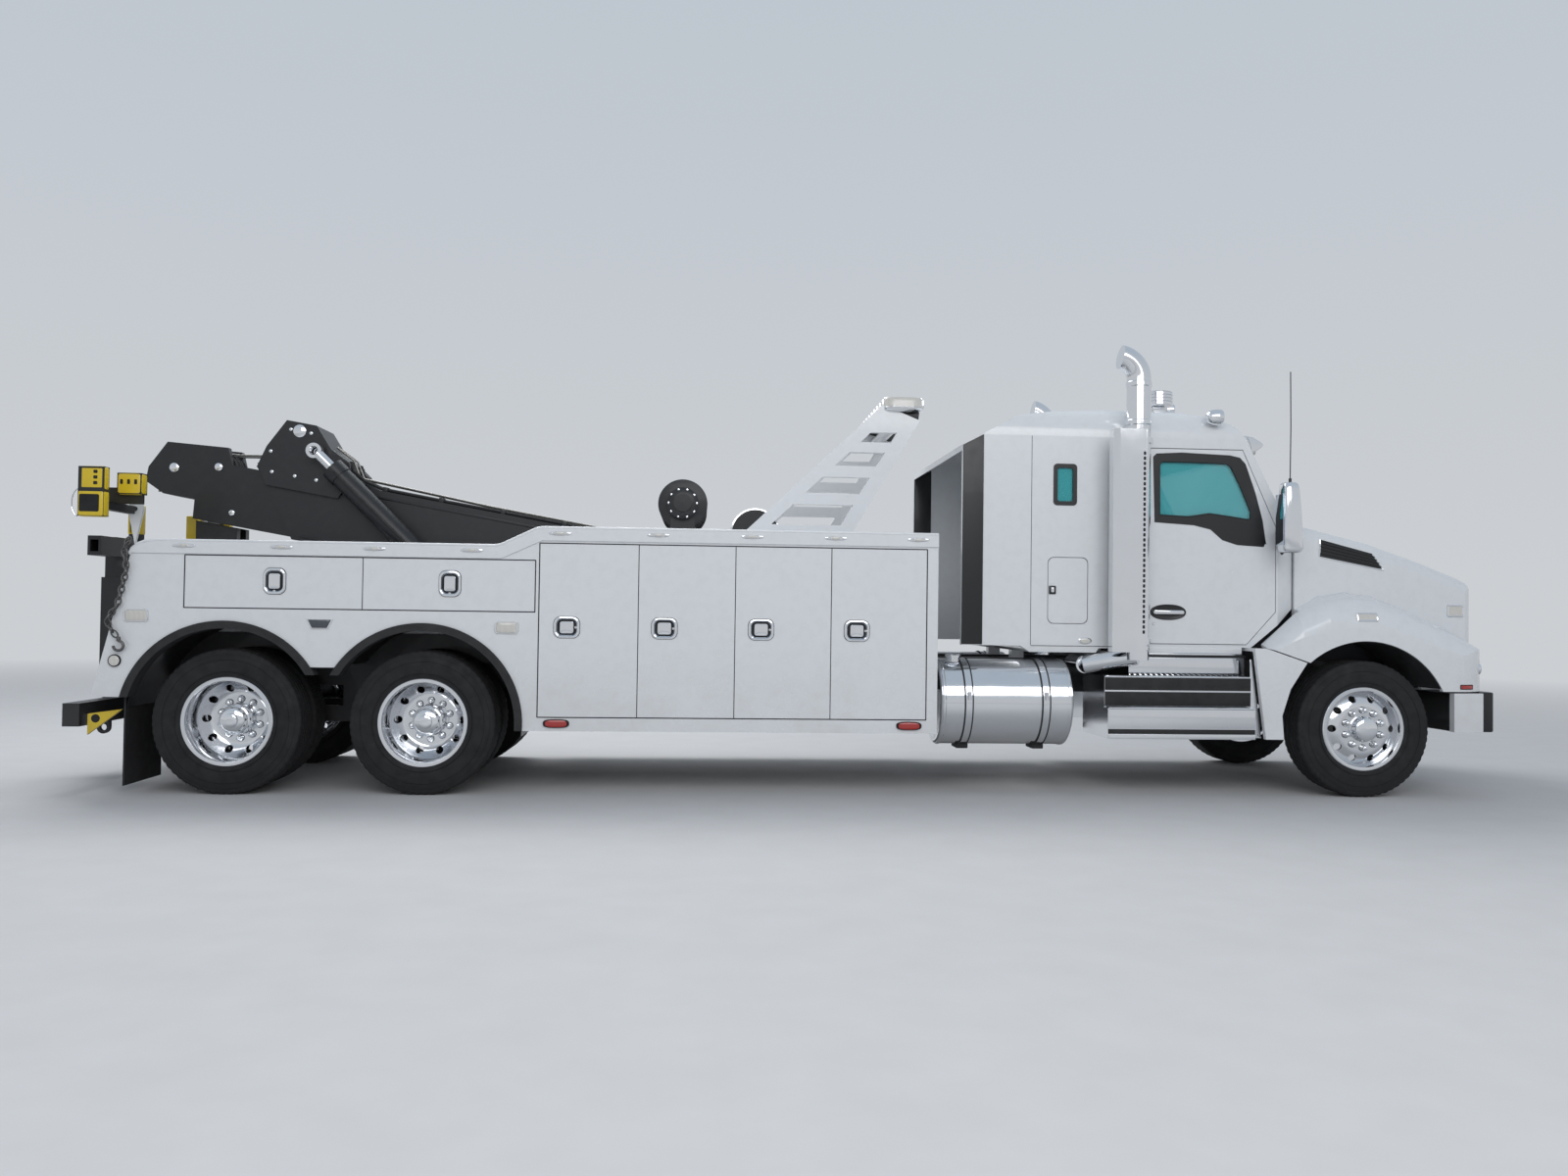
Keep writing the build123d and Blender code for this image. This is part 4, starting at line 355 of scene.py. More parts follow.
class Build:
    """Points, faces and the material of each face, gathered for one mesh."""

    def __init__(self):
        self.points = []
        self.faces = []
        self.marks = []

    def add(self, points, faces, mark=0):
        start = len(self.points)
        self.points += [Vector(point) for point in points]
        self.faces += [tuple(start + index for index in face) for face in faces]
        self.marks += [mark] * len(faces)

    def lathe(self, profile, centre, steps, axis="Y", mark=0, closed=True):
        """A profile of (radius, along) turned about an axis through centre."""
        rows = len(profile)
        points = []
        for step in range(steps):
            turn = 2 * pi * step / steps
            for radius, along in profile:
                shift = square_to[axis](radius * cos(turn), radius * sin(turn), along)
                points.append([centre[part] + shift[part] for part in range(3)])
        faces = []
        for step in range(steps):
            following = (step + 1) % steps
            for row in range(rows if closed else rows - 1):
                after = (row + 1) % rows
                faces.append((step * rows + row, step * rows + after, following * rows + after,
                              following * rows + row))
        self.add(points, faces, mark)

    def disc(self, radius, span, centre, steps, axis="Y", mark=0):
        """A solid disc between two places along its axis."""
        low, high = span
        self.lathe([(0.0, low), (radius, low), (radius, high), (0.0, high)], centre, steps, axis, mark)

    def box(self, low, high, bevel=0.0, mark=0):
        """A box between two corners, with its edges bevelled."""
        shape = bmesh.new()
        bmesh.ops.create_cube(shape, size=1.0)
        size = [high[axis] - low[axis] for axis in range(3)]
        middle = [(high[axis] + low[axis]) / 2 for axis in range(3)]
        for vertex in shape.verts:
            vertex.co = Vector([middle[axis] + vertex.co[axis] * size[axis] for axis in range(3)])
        if bevel:
            bmesh.ops.bevel(shape, geom=shape.edges[:], offset=bevel, segments=3, profile=0.5, affect="EDGES",
                            clamp_overlap=True)
        self.take(shape, mark)

    def slab(self, behind, y_span, heights, bevel=0.0, mark=0):
        """A box between two distances behind the axle, two Y values and two heights."""
        self.box((station(behind[0]), y_span[0], heights[0]), (station(behind[1]), y_span[1], heights[1]), bevel,
                 mark)

    def take(self, shape, mark=0):
        shape.verts.index_update()
        self.add([vertex.co.copy() for vertex in shape.verts],
                 [tuple(vertex.index for vertex in face.verts) for face in shape.faces], mark)
        shape.free()

    def plate(self, outline, span, bevel=0.0, axis="Y", mark=0):
        """An outline of (first, second) points drawn square to an axis, made as thick as the span."""
        low, high = span
        shape = bmesh.new()
        place = square_to[axis]
        face = shape.faces.new([shape.verts.new(place(a, b, low)) for a, b in outline])
        moved = bmesh.ops.extrude_face_region(shape, geom=[face])["geom"]
        bmesh.ops.translate(shape, vec=Vector(place(0, 0, high - low)),
                            verts=[item for item in moved if isinstance(item, bmesh.types.BMVert)])
        bmesh.ops.recalc_face_normals(shape, faces=shape.faces[:])
        if bevel:
            sharp = [edge for edge in shape.edges
                     if len(edge.link_faces) == 2 and edge.calc_face_angle(0) > radians(50)]
            bmesh.ops.bevel(shape, geom=sharp, offset=bevel, segments=3, profile=0.5, affect="EDGES",
                            clamp_overlap=True)
        self.take(shape, mark)

    def layers(self, loops, mark=0, capped=True):
        """Loops with the same count of points, each joined to the next; a face closes the last."""
        count = len(loops[0])
        faces = strip_faces(len(loops), count, True)
        if capped:
            faces.append(tuple((len(loops) - 1) * count + step for step in range(count)))
        self.add([point for loop in loops for point in loop], faces, mark)

    def dome(self, centre, outline, rows, side, mark=0, capped=True):
        """An outline in side view raised off a wall: each row is its scale and how far it stands out."""
        self.layers([[(centre[0] + scale * a, centre[1] + side * out, centre[2] + scale * b) for a, b in outline]
                     for scale, out in rows], mark, capped)

    def band(self, outer, inner, span, mark=0):
        """A ring in side view between two outlines with the same count of points, between two Y values."""
        low, high = span
        loops = [[(a, y, b) for a, b in outline]
                 for outline, y in ((outer, low), (outer, high), (inner, high), (inner, low), (outer, low))]
        self.layers(loops, mark, capped=False)

    def tube(self, path, radius, steps=10, mark=0, capped=True):
        """A round tube along a list of points."""
        path = [Vector(point) for point in path]
        points = []
        side = None
        for index, point in enumerate(path):
            before = path[max(index - 1, 0)]
            after = path[min(index + 1, len(path) - 1)]
            along = (after - before).normalized()
            if side is None:
                side = along.orthogonal().normalized()
            side = (side - along * side.dot(along)).normalized()
            across = along.cross(side)
            for step in range(steps):
                turn = 2 * pi * step / steps
                points.append(point + radius * (cos(turn) * side + sin(turn) * across))
        faces = strip_faces(len(path), steps, True)
        if capped:
            faces.append(tuple(range(steps))[::-1])
            faces.append(tuple((len(path) - 1) * steps + step for step in range(steps)))
        self.add(points, faces, mark)

    def finish(self, name, finishes, body, angle=35):
        """The mesh piece: it rides on a body and takes the finishes it is given."""
        mesh = bpy.data.meshes.new(name)
        mesh.from_pydata([tuple(point) for point in self.points], [], self.faces)
        mesh.update()
        made = bpy.data.objects.new(name, mesh)
        scene.collection.objects.link(made)
        for one in finishes:
            mesh.materials.append(one)
        shape = bmesh.new()
        shape.from_mesh(mesh)
        bmesh.ops.recalc_face_normals(shape, faces=shape.faces[:])
        shape.to_mesh(mesh)
        shape.free()
        if any(self.marks):
            mesh.polygons.foreach_set("material_index", self.marks)
        mesh.shade_smooth()
        mesh.set_sharp_from_angle(angle=radians(angle))
        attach(made, body)
        return made


# Wheels: tyres with their tread, polished rims with hand holes, and chrome hub covers

rim_half = 0.124
tread_pitches = 60
steps_a_pitch = 5
tread_depth = 0.013
tread_middles = (-0.072, -0.026, 0.026, 0.072)
shoulder_cut, rib_cut, slot_lean = 0.004, 0.003, 0.012
hand_hole_radius = 0.027
hand_hole_circle = 0.233
hand_hole_band = 0.042
hand_hole_count = 10
stud_circle, stud_count = 0.1425, 10
disc_plate = 0.016
disc_edges = (0.085, 0.178, 0.296)


def add_tyre(build, centre):
    """A tyre whose tread blocks are cut by four grooves round it and by slots across it."""
    sidewall = ((0.302, -0.104), (0.318, -0.121), (0.345, -0.134), (0.385, -0.1395), (0.425, -0.140),
                (0.455, -0.137), (0.478, -0.131), (0.480, -0.1285), (0.497, -0.1270))
    # Each row: radius, place across the tyre, and what cuts it (0 nothing, 1 the shoulder, 2 the ribs)
    rows = [(radius, along, 0) for radius, along in sidewall]
    rows += [(0.512, -0.1215, 1), (0.5185, -0.1125, 1)]
    for middle in tread_middles:
        for along, depth in ((-0.006, 0), (-0.004, tread_depth), (0.004, tread_depth), (0.006, 0)):
            rows.append((wheel_radius - 0.0006 - depth, middle + along, 2))
    rows += [(0.5185, 0.1125, 1), (0.512, 0.1215, 1)]
    rows += [(radius, -along, 0) for radius, along in reversed(sidewall)]
    steps = tread_pitches * steps_a_pitch
    points = []
    for step in range(steps):
        turn = 2 * pi * step / steps
        phase = step % steps_a_pitch
        for radius, along, kind in rows:
            cut = 0.0
            shift = (turn + (slot_lean if along > 0 else -slot_lean)) if kind else turn
            if kind == 1 and phase in (0, 1):
                cut = shoulder_cut
            elif kind == 2 and phase == 0 and abs(along) > 0.05:
                cut = rib_cut
            reach = radius - cut
            points.append((centre[0] + reach * cos(shift), centre[1] + along, centre[2] + reach * sin(shift)))
    count = len(rows)
    faces = []
    for step in range(steps):
        after = (step + 1) % steps
        for row in range(count - 1):
            faces.append((step * count + row, step * count + row + 1, after * count + row + 1, after * count + row))
    build.add(points, faces)
    # Raised rings on both sidewalls
    for sign in (-1, 1):
        for radius, wide in ((0.352, 0.003), (0.440, 0.002)):
            ring = [(radius - wide, sign * 0.1355), (radius, sign * 0.1415), (radius + wide, sign * 0.1355)]
            build.lathe(ring, centre, 96)


def disc_height(radius, rise):
    """How far the dished disc stands back from its hub face at a radius."""
    _, flat_radius, outer_radius = disc_edges
    if radius <= flat_radius:
        return 0.0
    share = min((radius - flat_radius) / (outer_radius - flat_radius), 1.0)
    return rise * share * share * (1.6 - 0.6 * share)


def add_disc(build, centre, face_along, rise, outward):
    """The rim's disc with round hand holes; its hub face lies at face_along and its edge stands back by rise."""
    inner_edge, _, outer_edge = disc_edges
    low_edge, high_edge = hand_hole_circle - hand_hole_band, hand_hole_circle + hand_hole_band
    sector = 2 * pi / hand_hole_count
    around = 32

    def place(radius, turn, layer):
        along = face_along - outward * disc_height(radius, rise) + outward * layer
        return (centre[0] + radius * cos(turn), centre[1] + along, centre[2] + radius * sin(turn))

    for layer in (0.0, -disc_plate):
        # A patch with a round hole for each sector, from the hole's edge to the sector's edge
        for number in range(hand_hole_count):
            points = []
            rings = 4
            for ring in range(rings + 1):
                share = ring / rings
                for step in range(around):
                    turn = 2 * pi * step / around
                    hole = (hand_hole_circle + hand_hole_radius * cos(turn),
                            hand_hole_radius * sin(turn) / hand_hole_circle)
                    grow = 1 / max(abs(cos(turn)), abs(sin(turn)))
                    edge = (hand_hole_circle + (high_edge - hand_hole_circle) * cos(turn) * grow,
                            sector / 2 * sin(turn) * grow)
                    radius = hole[0] + (edge[0] - hole[0]) * share
                    swing = hole[1] + (edge[1] - hole[1]) * share
                    points.append(place(radius, number * sector + swing, layer))
            build.add(points, strip_faces(rings + 1, around, True), 1)
        # Plain rings inside and outside the holes
        for start, end in ((inner_edge, low_edge), (high_edge, outer_edge)):
            count = 8
            radii = [start + (end - start) * step / count for step in range(count + 1)]
            steps = 160
            points = [place(radius, 2 * pi * step / steps, layer) for step in range(steps) for radius in radii]
            faces = []
            for step in range(steps):
                after = (step + 1) % steps
                for row in range(count):
                    faces.append((step * (count + 1) + row, step * (count + 1) + row + 1,
                                  after * (count + 1) + row + 1, after * (count + 1) + row))
            build.add(points, faces, 1)
    # The walls of the hand holes
    for number in range(hand_hole_count):
        points = []
        for step in range(around):
            turn = 2 * pi * step / around
            radius = hand_hole_circle + hand_hole_radius * cos(turn)
            swing = number * sector + hand_hole_radius * sin(turn) / hand_hole_circle
            points += [place(radius, swing, layer) for layer in (0.0, -disc_plate)]
        faces = [(2 * step, 2 * step + 1, 2 * ((step + 1) % around) + 1, 2 * ((step + 1) % around))
                 for step in range(around)]
        build.add(points, faces, 1)


def add_barrel(build, centre):
    """The rim's barrel with a rolled lip on each side."""
    profile = (
        (0.288, -rim_half + 0.006), (0.292, -rim_half - 0.002), (0.304, -rim_half - 0.004),
        (0.316, -rim_half - 0.004), (0.3235, -rim_half + 0.002), (0.3225, -rim_half + 0.009),
        (0.312, -rim_half + 0.012), (0.3035, -rim_half + 0.018), (0.3015, -rim_half + 0.03),
        (0.3015, rim_half - 0.03), (0.3035, rim_half - 0.018), (0.312, rim_half - 0.012),
        (0.3225, rim_half - 0.009), (0.3235, rim_half - 0.002), (0.316, rim_half + 0.004),
        (0.304, rim_half + 0.004), (0.292, rim_half + 0.002), (0.288, rim_half - 0.006),
        (0.284, rim_half - 0.03), (0.282, 0.0), (0.284, -rim_half + 0.03),
    )
    build.lathe(profile, centre, 120, mark=1)


def outwards(outward, profile):
    """A profile whose places along the axis run towards the truck's outside."""
    return [(radius, outward * along) for radius, along in profile]


def add_lug_covers(build, centre, face_along, outward):
    """Chrome covers over the lug nuts, each with a dark ring at its foot."""
    for number in range(stud_count):
        turn = 2 * pi * (number + 0.5) / stud_count
        middle = (centre[0] + stud_circle * cos(turn), centre[1] + face_along, centre[2] + stud_circle * sin(turn))
        cover = ((0.0250, 0.0), (0.0250, 0.005), (0.0205, 0.008), (0.0195, 0.034), (0.0150, 0.046),
                 (0.007, 0.051), (0.0, 0.0515))
        build.lathe(outwards(outward, cover), middle, 20, mark=2, closed=False)
        build.lathe(outwards(outward, ((0.0225, 0.0055), (0.0265, 0.0062), (0.0265, 0.0045))), middle, 20, mark=3)


def wheel(name, centres, face_along, rise, hub_profile, outward):
    """One wheel body: its tyres and rims, with the outer disc's covers."""
    build = Build()
    for centre in centres:
        add_tyre(build, centre)
        add_barrel(build, centre)
    outer = centres[0]
    add_disc(build, outer, face_along, rise, outward)
    for inner in centres[1:]:
        inner_face = face_along + outer[1] - inner[1] - outward * 0.018
        add_disc(build, inner, inner_face, -rise * 0.9, outward)
    add_lug_covers(build, outer, face_along, outward)
    build.lathe(outwards(outward, hub_profile), (outer[0], outer[1] + face_along, outer[2]), 72, mark=2,
                closed=False)
    made = build.finish(name, [tyre_rubber, polished, chrome, dark_gap], name, angle=30)
    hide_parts(name)
    made.name = f"{name}_dressed"


def middle_of(node_name):
    """X and Z of a node's middle."""
    low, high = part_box(node_name)
    return (low[0] + high[0]) / 2, (low[2] + high[2]) / 2


front_wheel_y, rear_wheel_y, twin_spacing = 1.04, 1.06, 0.343
rear_face = 0.1535
shaft_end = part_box("axles")[1][1]
cap_end = max(shaft_end - rear_wheel_y + rear_face + 0.010, 0.207)
front_hub = ((0.100, 0.0), (0.100, 0.012), (0.094, 0.020), (0.090, 0.052), (0.086, 0.062), (0.077, 0.069),
             (0.058, 0.074), (0.030, 0.078), (0.0, 0.079))
rear_hub = ((0.118, 0.0), (0.118, 0.020), (0.112, 0.026), (0.110, 0.120), (0.106, 0.128), (0.096, 0.133),
            (0.093, 0.172), (0.088, 0.184), (0.076, 0.193), (0.052, 0.199), (0.048, cap_end - 0.006),
            (0.040, cap_end - 0.002), (0.020, cap_end), (0.0, cap_end))
for side_name, outward in SIDES:
    name = f"wheel_front_{side_name}"
    x, z = middle_of(name)
    wheel(name, [(x, outward * front_wheel_y, z)], outward * 0.110, 0.060, front_hub, outward)
    for axle in ("front", "rear"):
        name = f"wheel_{axle}_tandem_{side_name}"
        x, z = middle_of(name)
        wheel(name, [(x, outward * rear_wheel_y, z), (x, outward * (rear_wheel_y - twin_spacing), z)],
              -outward * rear_face, -0.085, rear_hub, outward)


# Tool body: latches, seals, marker lamps and the rail round its top

body_y = 1.270
rail_y = 1.282
tall_door_x = [station(behind) for behind in (6.215, 5.505, 4.804, 4.102, 3.396)]
tall_door_z = (0.575, 1.825)
lid_x = [station(behind) for behind in (8.688, 7.459, 6.245)]
lid_z = (1.330, 1.700)
door_latch_z = 1.222
lid_latch_z = 1.524
seam_half = 0.0024


def add_latch(build, centre, side, upright):
    """A chrome dish whose floor is painted dark and bluish as shade and sky reflection, with a pull handle and a
    lock; lids have theirs upright.
    """
    half_a, half_b = (0.077, 0.093) if upright else (0.093, 0.077)
    pull_a, pull_b = (0.040, 0.054) if upright else (0.049, 0.043)
    dish = block(half_a, half_b, 0.050, 10)
    build.dome(centre, dish, ((1.03, 0.0002), (1.03, 0.0022), (0.99, 0.0030)), side, 1)
    build.dome(centre, dish, ((1.0, 0.0003), (0.995, 0.007), (0.95, 0.0125), (0.87, 0.0145), (0.80, 0.0115),
                              (0.78, 0.0060)), side, capped=False)
    # The dish's floor in dark bluish metal: painted shade and painted sky reflection.
    build.dome(centre, dish, ((0.79, 0.0065), (0.76, 0.0035), (0.70, 0.0022)), side, 2)
    build.dome(centre, block(pull_a, pull_b, 0.016),
               ((1.0, 0.002), (1.0, 0.0105), (0.95, 0.0135), (0.55, 0.0150)), side)
    slot = (centre[0], centre[1], centre[2] + pull_b + 0.004)
    build.dome(slot, block(0.8 * pull_a, 0.004, 0.0035), ((1.0, 0.002), (1.0, 0.0045)), side, 1)
    lock = (centre[0] + (0.0 if upright else 0.064), centre[1], centre[2] - (0.070 if upright else 0.0))
    build.dome(lock, oval(0.0095, 0.0095, 2.0, 20), ((1.0, 0.002), (1.0, 0.0085), (0.85, 0.0105)), side)
    build.dome(lock, oval(0.0012, 0.005, 2.0, 12), ((1.0, 0.0100), (1.0, 0.0112)), side, 1)


for side_name, side in SIDES:
    latches = [(f"body_door_{side_name}_{number}", tall_door_x[number - 1] + (0.200 if number == 1 else 0.190),
                door_latch_z, False) for number in range(1, 5)]
    latches += [(f"body_lid_{side_name}_{number}", (lid_x[number - 1] + lid_x[number]) / 2 + 0.005,
                 lid_latch_z, True) for number in range(1, 3)]
    for name, x, z, upright in latches:
        build = Build()
        add_latch(build, (x, side * body_y, z), side, upright)
        build.finish(f"{name}_latch", [chrome, dark_gap, painted_dish_shade_and_reflection], name)

build = Build()
for side in BOTH:
    faces = two(side, body_y - 0.005, body_y + 0.0012)
    for xs, zs in ((tall_door_x, tall_door_z), (lid_x, lid_z)):
        low, high = (xs[0], zs[0]), (xs[-1], zs[1])
        build.band(frame_outline(low, high, 0.005, 0.006), frame_outline(low, high, -seam_half, 0.003), faces)
        for seam in xs[1:-1]:
            build.box((seam - seam_half, faces[0], zs[0]), (seam + seam_half, faces[1], zs[1]))
build.finish("door_seals", [dark_gap], "chassis")

rail_path = ((9.066, 1.700), (9.050, 1.740), (9.015, 1.772), (8.960, 1.794), (8.884, 1.802), (6.530, 1.802),
             (6.490, 1.810), (6.240, 1.930), (6.200, 1.938), (3.316, 1.938))
build = Build()
for side in BOTH:
    build.tube(at_y(rail_path, side * (rail_y - 0.008)), 0.011, 12)
build.finish("rail_trim", [white_paint], "chassis")

# Lamps of the body: distance behind the front axle, height, outline, and the finish of lens and bezel
lamp_finishes = [chrome, dark_gap, lamp_clear, lamp_red, lamp_amber, smoked]
BRIGHT, DARK, CLEAR, RED, AMBER, SMOKED = range(6)
lamp_block = block(0.085, 0.044, 0.022)
lamp_trapezoid = [(0.094, 0.034), (-0.094, 0.034), (-0.060, -0.034), (0.060, -0.034)]
lamp_oval = oval(0.094, 0.031, 3.0)
flank_lamps = (
    (9.010, 1.270, lamp_block, CLEAR, BRIGHT), (6.440, 1.215, lamp_block, CLEAR, BRIGHT),
    (7.750, 1.225, lamp_trapezoid, SMOKED, BRIGHT), (9.150, 0.950, oval(0.044, 0.044, 2.0), CLEAR, DARK),
    (6.080, 0.530, lamp_oval, RED, DARK), (3.520, 0.530, lamp_oval, RED, DARK),
)
build = Build()
for side in BOTH:
    for behind, z, outline, lens_mark, bezel_mark in flank_lamps:
        centre = (station(behind), side * body_y, z)
        build.dome(centre, outline, ((1.0, 0.0002), (0.99, 0.010), (0.95, 0.0145), (0.87, 0.0145), (0.84, 0.011)),
                   side, bezel_mark)
        build.dome(centre, outline, ((0.84, 0.010), (0.82, 0.014), (0.70, 0.0165), (0.35, 0.0185)), side, lens_mark)
made = build.finish("marker_lamps", lamp_finishes, "chassis")
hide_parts("body_lamps")

low_rail_lamps, high_rail_lamps = (8.692, 8.024, 7.378, 6.696), (6.071, 5.368, 4.686, 4.076, 3.465)
rail_lamps = [(behind, 1.765) for behind in low_rail_lamps] + [(behind, 1.897) for behind in high_rail_lamps]
build = Build()
for side in BOTH:
    for centre in at_y(rail_lamps, side * rail_y):
        build.dome(centre, oval(0.082, 0.013, 2.6), ((1.0, 0.0002), (0.96, 0.006), (0.80, 0.0085)), side, BRIGHT)
        build.dome(centre, oval(0.034, 0.011, 2.4, 28), ((1.0, 0.006), (0.96, 0.014), (0.75, 0.0175), (0.3, 0.019)),
                   side, CLEAR)
build.finish("rail_lamps", lamp_finishes, "chassis")

# Linings over the wheels: a curved sheet in each arch, and a wall inboard of the rear wheels

front_arch, rear_arch = 0.667, 0.703
arch_inner_y = 0.569
sheet_thick, sheet_steps = 0.003, 40
tandem_x = [middle_of(f"wheel_{axle}_tandem_right")[0] for axle in ("front", "rear")]


def arc_sheet(build, axle_x, radius, y_span, start, end):
    """A curved sheet over a wheel, between two angles from its front round to its rear."""
    low, high = y_span
    inside = radius - sheet_thick
    loops = []
    for step in range(sheet_steps + 1):
        turn = radians(start + (end - start) * step / sheet_steps)
        loops.append([(axle_x + reach * cos(turn), y, wheel_z + reach * sin(turn))
                      for reach, y in ((inside, low), (radius, low), (radius, high), (inside, high))])
    build.layers(loops)
    build.add(loops[0], [(0, 1, 2, 3)])


build = Build()
for side in BOTH:
    arc_sheet(build, front_axle_x, front_arch, two(side, 0.665, 1.205), 28, 131)
build.finish("fender_linings", [black_trim], "hood")

build = Build()
for side in BOTH:
    arch_y = two(side, arch_inner_y + 0.004, 1.158)
    arc_sheet(build, tandem_x[0], rear_arch, arch_y, -8, 145)
    arc_sheet(build, tandem_x[1], rear_arch, arch_y, 35, 172)
    low, high = two(side, arch_inner_y - 0.004, arch_inner_y)
    build.box((tandem_x[1] - rear_arch, low, 0.930), (tandem_x[0] + rear_arch, high, 1.148))
    build.slab((-0.694, -0.699), two(side, 0.520, 1.152), (0.508, 0.797))
build.finish("arch_linings", [black_trim], "chassis")

# Fuel tanks: rubber beside each strap, end seams, filler caps and feet

tank_x = (station(3.260), station(2.277))
tank_y, tank_z, tank_radius = 0.895, 0.692, 0.325
tank_bottom = tank_z - tank_radius
strap_half, strap_inset = 0.030, 0.200
filler_cap = ((0.0, 0.300), (0.052, 0.300), (0.052, 0.335), (0.060, 0.336), (0.060, 0.352), (0.050, 0.360),
              (0.0, 0.362))


def on_tank(profile):
    """A profile whose radii are given from the tank's own."""
    return [(tank_radius + rise, along) for rise, along in profile]


build = Build()
for side in BOTH:
    centre = (0.0, side * tank_y, tank_z)
    for strap_x in (tank_x[0] + strap_inset, tank_x[1] - strap_inset):
        for edge in (strap_x - strap_half - 0.003, strap_x + strap_half - 0.006):
            seal = on_tank(((0.0005, edge), (0.0085, edge), (0.0085, edge + 0.009), (0.0005, edge + 0.009)))
            build.lathe(seal, centre, 72, "X", 1)
        build.box((strap_x - 0.045, centre[1] - 0.09, tank_bottom - 0.030),
                  (strap_x + 0.045, centre[1] + 0.09, tank_bottom + 0.012), 0.008, 1)
        build.disc(0.013, (0.0, 0.06), (strap_x, side * (tank_y + tank_radius + 0.012), tank_z + 0.03), 12, "Z")
    for end, way in ((tank_x[0], -1), (tank_x[1], 1)):
        build.lathe(on_tank(((0.0004, end - way * 0.030), (0.005, end - way * 0.024), (0.005, end - way * 0.010),
                             (0.0004, end - way * 0.004))), centre, 72, "X")
        build.lathe(on_tank(((-0.004, end), (-0.012, end + way * 0.007), (-0.030, end + way * 0.009),
                             (-0.045, end + way * 0.003), (-tank_radius, end + way * 0.002))),
                    centre, 72, "X", closed=False)
    build.lathe(filler_cap, (tank_x[0] + 0.120, side * (tank_y + 0.10), tank_z), 32, "Z")
build.finish("tank_fittings", [polished, rubber], "chassis")

# Cab steps: treads, polished panels and the sill above them

step_x = (station(2.015), station(0.880))
low_face, high_face = 1.230, 1.150
# Each strip: heights, the face it lies on, how proud it stands, and its finish
step_strips = (
    # The dark rubber strip from 0.683 to 0.787 on the upper riser is painted shade above the lower tread.
    ((0.800, 0.897), high_face, 0.004, 1), ((0.683, 0.787), high_face, 0.003, 1),
    ((0.478, 0.514), low_face, 0.003, 1), ((0.441, 0.476), low_face, 0.006, 0),
    ((0.520, 0.664), low_face, 0.003, 0), ((0.789, 0.797), high_face, 0.008, 0),
)
tread_rows, treads_a_row = 3, 26
step_end = placed(((0.884, 1.040), (0.884, 0.445), (0.796, 0.445), (0.872, 1.040)))
build = Build()
for side in BOTH:
    for z_span, face, proud, mark in step_strips:
        low, high = two(side, face - 0.001, face + proud)
        build.box((step_x[0] + 0.003, low, z_span[0]), (step_x[1] - 0.003, high, z_span[1]), 0.0012, mark)
    for z, inner, outer in ((0.671, 1.152, 1.229), (0.903, 1.068, 1.149)):
        low, high = two(side, inner, outer)
        build.box((step_x[0] + 0.004, low, z), (step_x[1] - 0.004, high, z + 0.004), 0.0015)
        for row in range(tread_rows):
            for number in range(treads_a_row):
                x = step_x[0] + 0.03 + number * (step_x[1] - step_x[0] - 0.06) / (treads_a_row - 1)
                y = low + (row + 0.5) * (high - low) / tread_rows
                build.box((x - 0.014, y - 0.006, z + 0.0035), (x + 0.014, y + 0.006, z + 0.007), 0.001, 1)
    for face, z in ((high_face, 0.901), (low_face, 0.670)):
        build.tube([(x, side * (face + 0.002), z) for x in (step_x[0] + 0.004, step_x[1] - 0.004)], 0.009, 10)
    build.plate(step_end, two(side, 1.138, 1.149), 0.001)
    build.slab((1.800, 0.895), two(side, 1.056, 1.066), (0.9045, 1.046), 0.003)
build.finish("step_panels", [polished, rubber], "chassis", angle=30)

build = Build()
for side in BOTH:
    build.slab((1.798, 0.905), two(side, 0.990, 1.0485), (1.080, 1.127), 0.003)
    build.slab((1.798, 0.905), two(side, 0.990, 1.056), (1.064, 1.079), 0.004, 1)
    build.slab((1.798, 0.880), two(side, 0.990, 1.050), (1.046, 1.063), 0.002, 2)
build.finish("cab_sill", [white_paint, chrome, rubber], "chassis")

# Cab doors: black window surround, handle and glass run

# Each pair: a point on the surround's outside and the one on its inside
surround = (
    ((1.600, 2.078), (1.560, 2.135)), ((1.290, 2.060), (1.334, 2.125)), ((1.160, 2.030), (1.171, 2.152)),
    ((1.066, 1.950), (1.010, 2.132)), ((0.947, 1.914), (0.900, 2.116)), ((0.738, 1.903), (0.858, 2.112)),
    ((0.722, 1.940), (0.844, 2.122)), ((0.747, 2.105), (0.842, 2.171)), ((0.805, 2.316), (0.928, 2.372)),
    ((0.885, 2.540), (1.000, 2.512)), ((0.930, 2.588), (1.035, 2.537)), ((1.011, 2.604), (1.120, 2.541)),
    ((1.388, 2.618), (1.400, 2.545)), ((1.588, 2.606), (1.540, 2.545)), ((1.614, 2.580), (1.562, 2.520)),
)
surround_outer = [outer for outer, _ in surround]
surround_inner = [inner for _, inner in surround]
door_y = 1.050
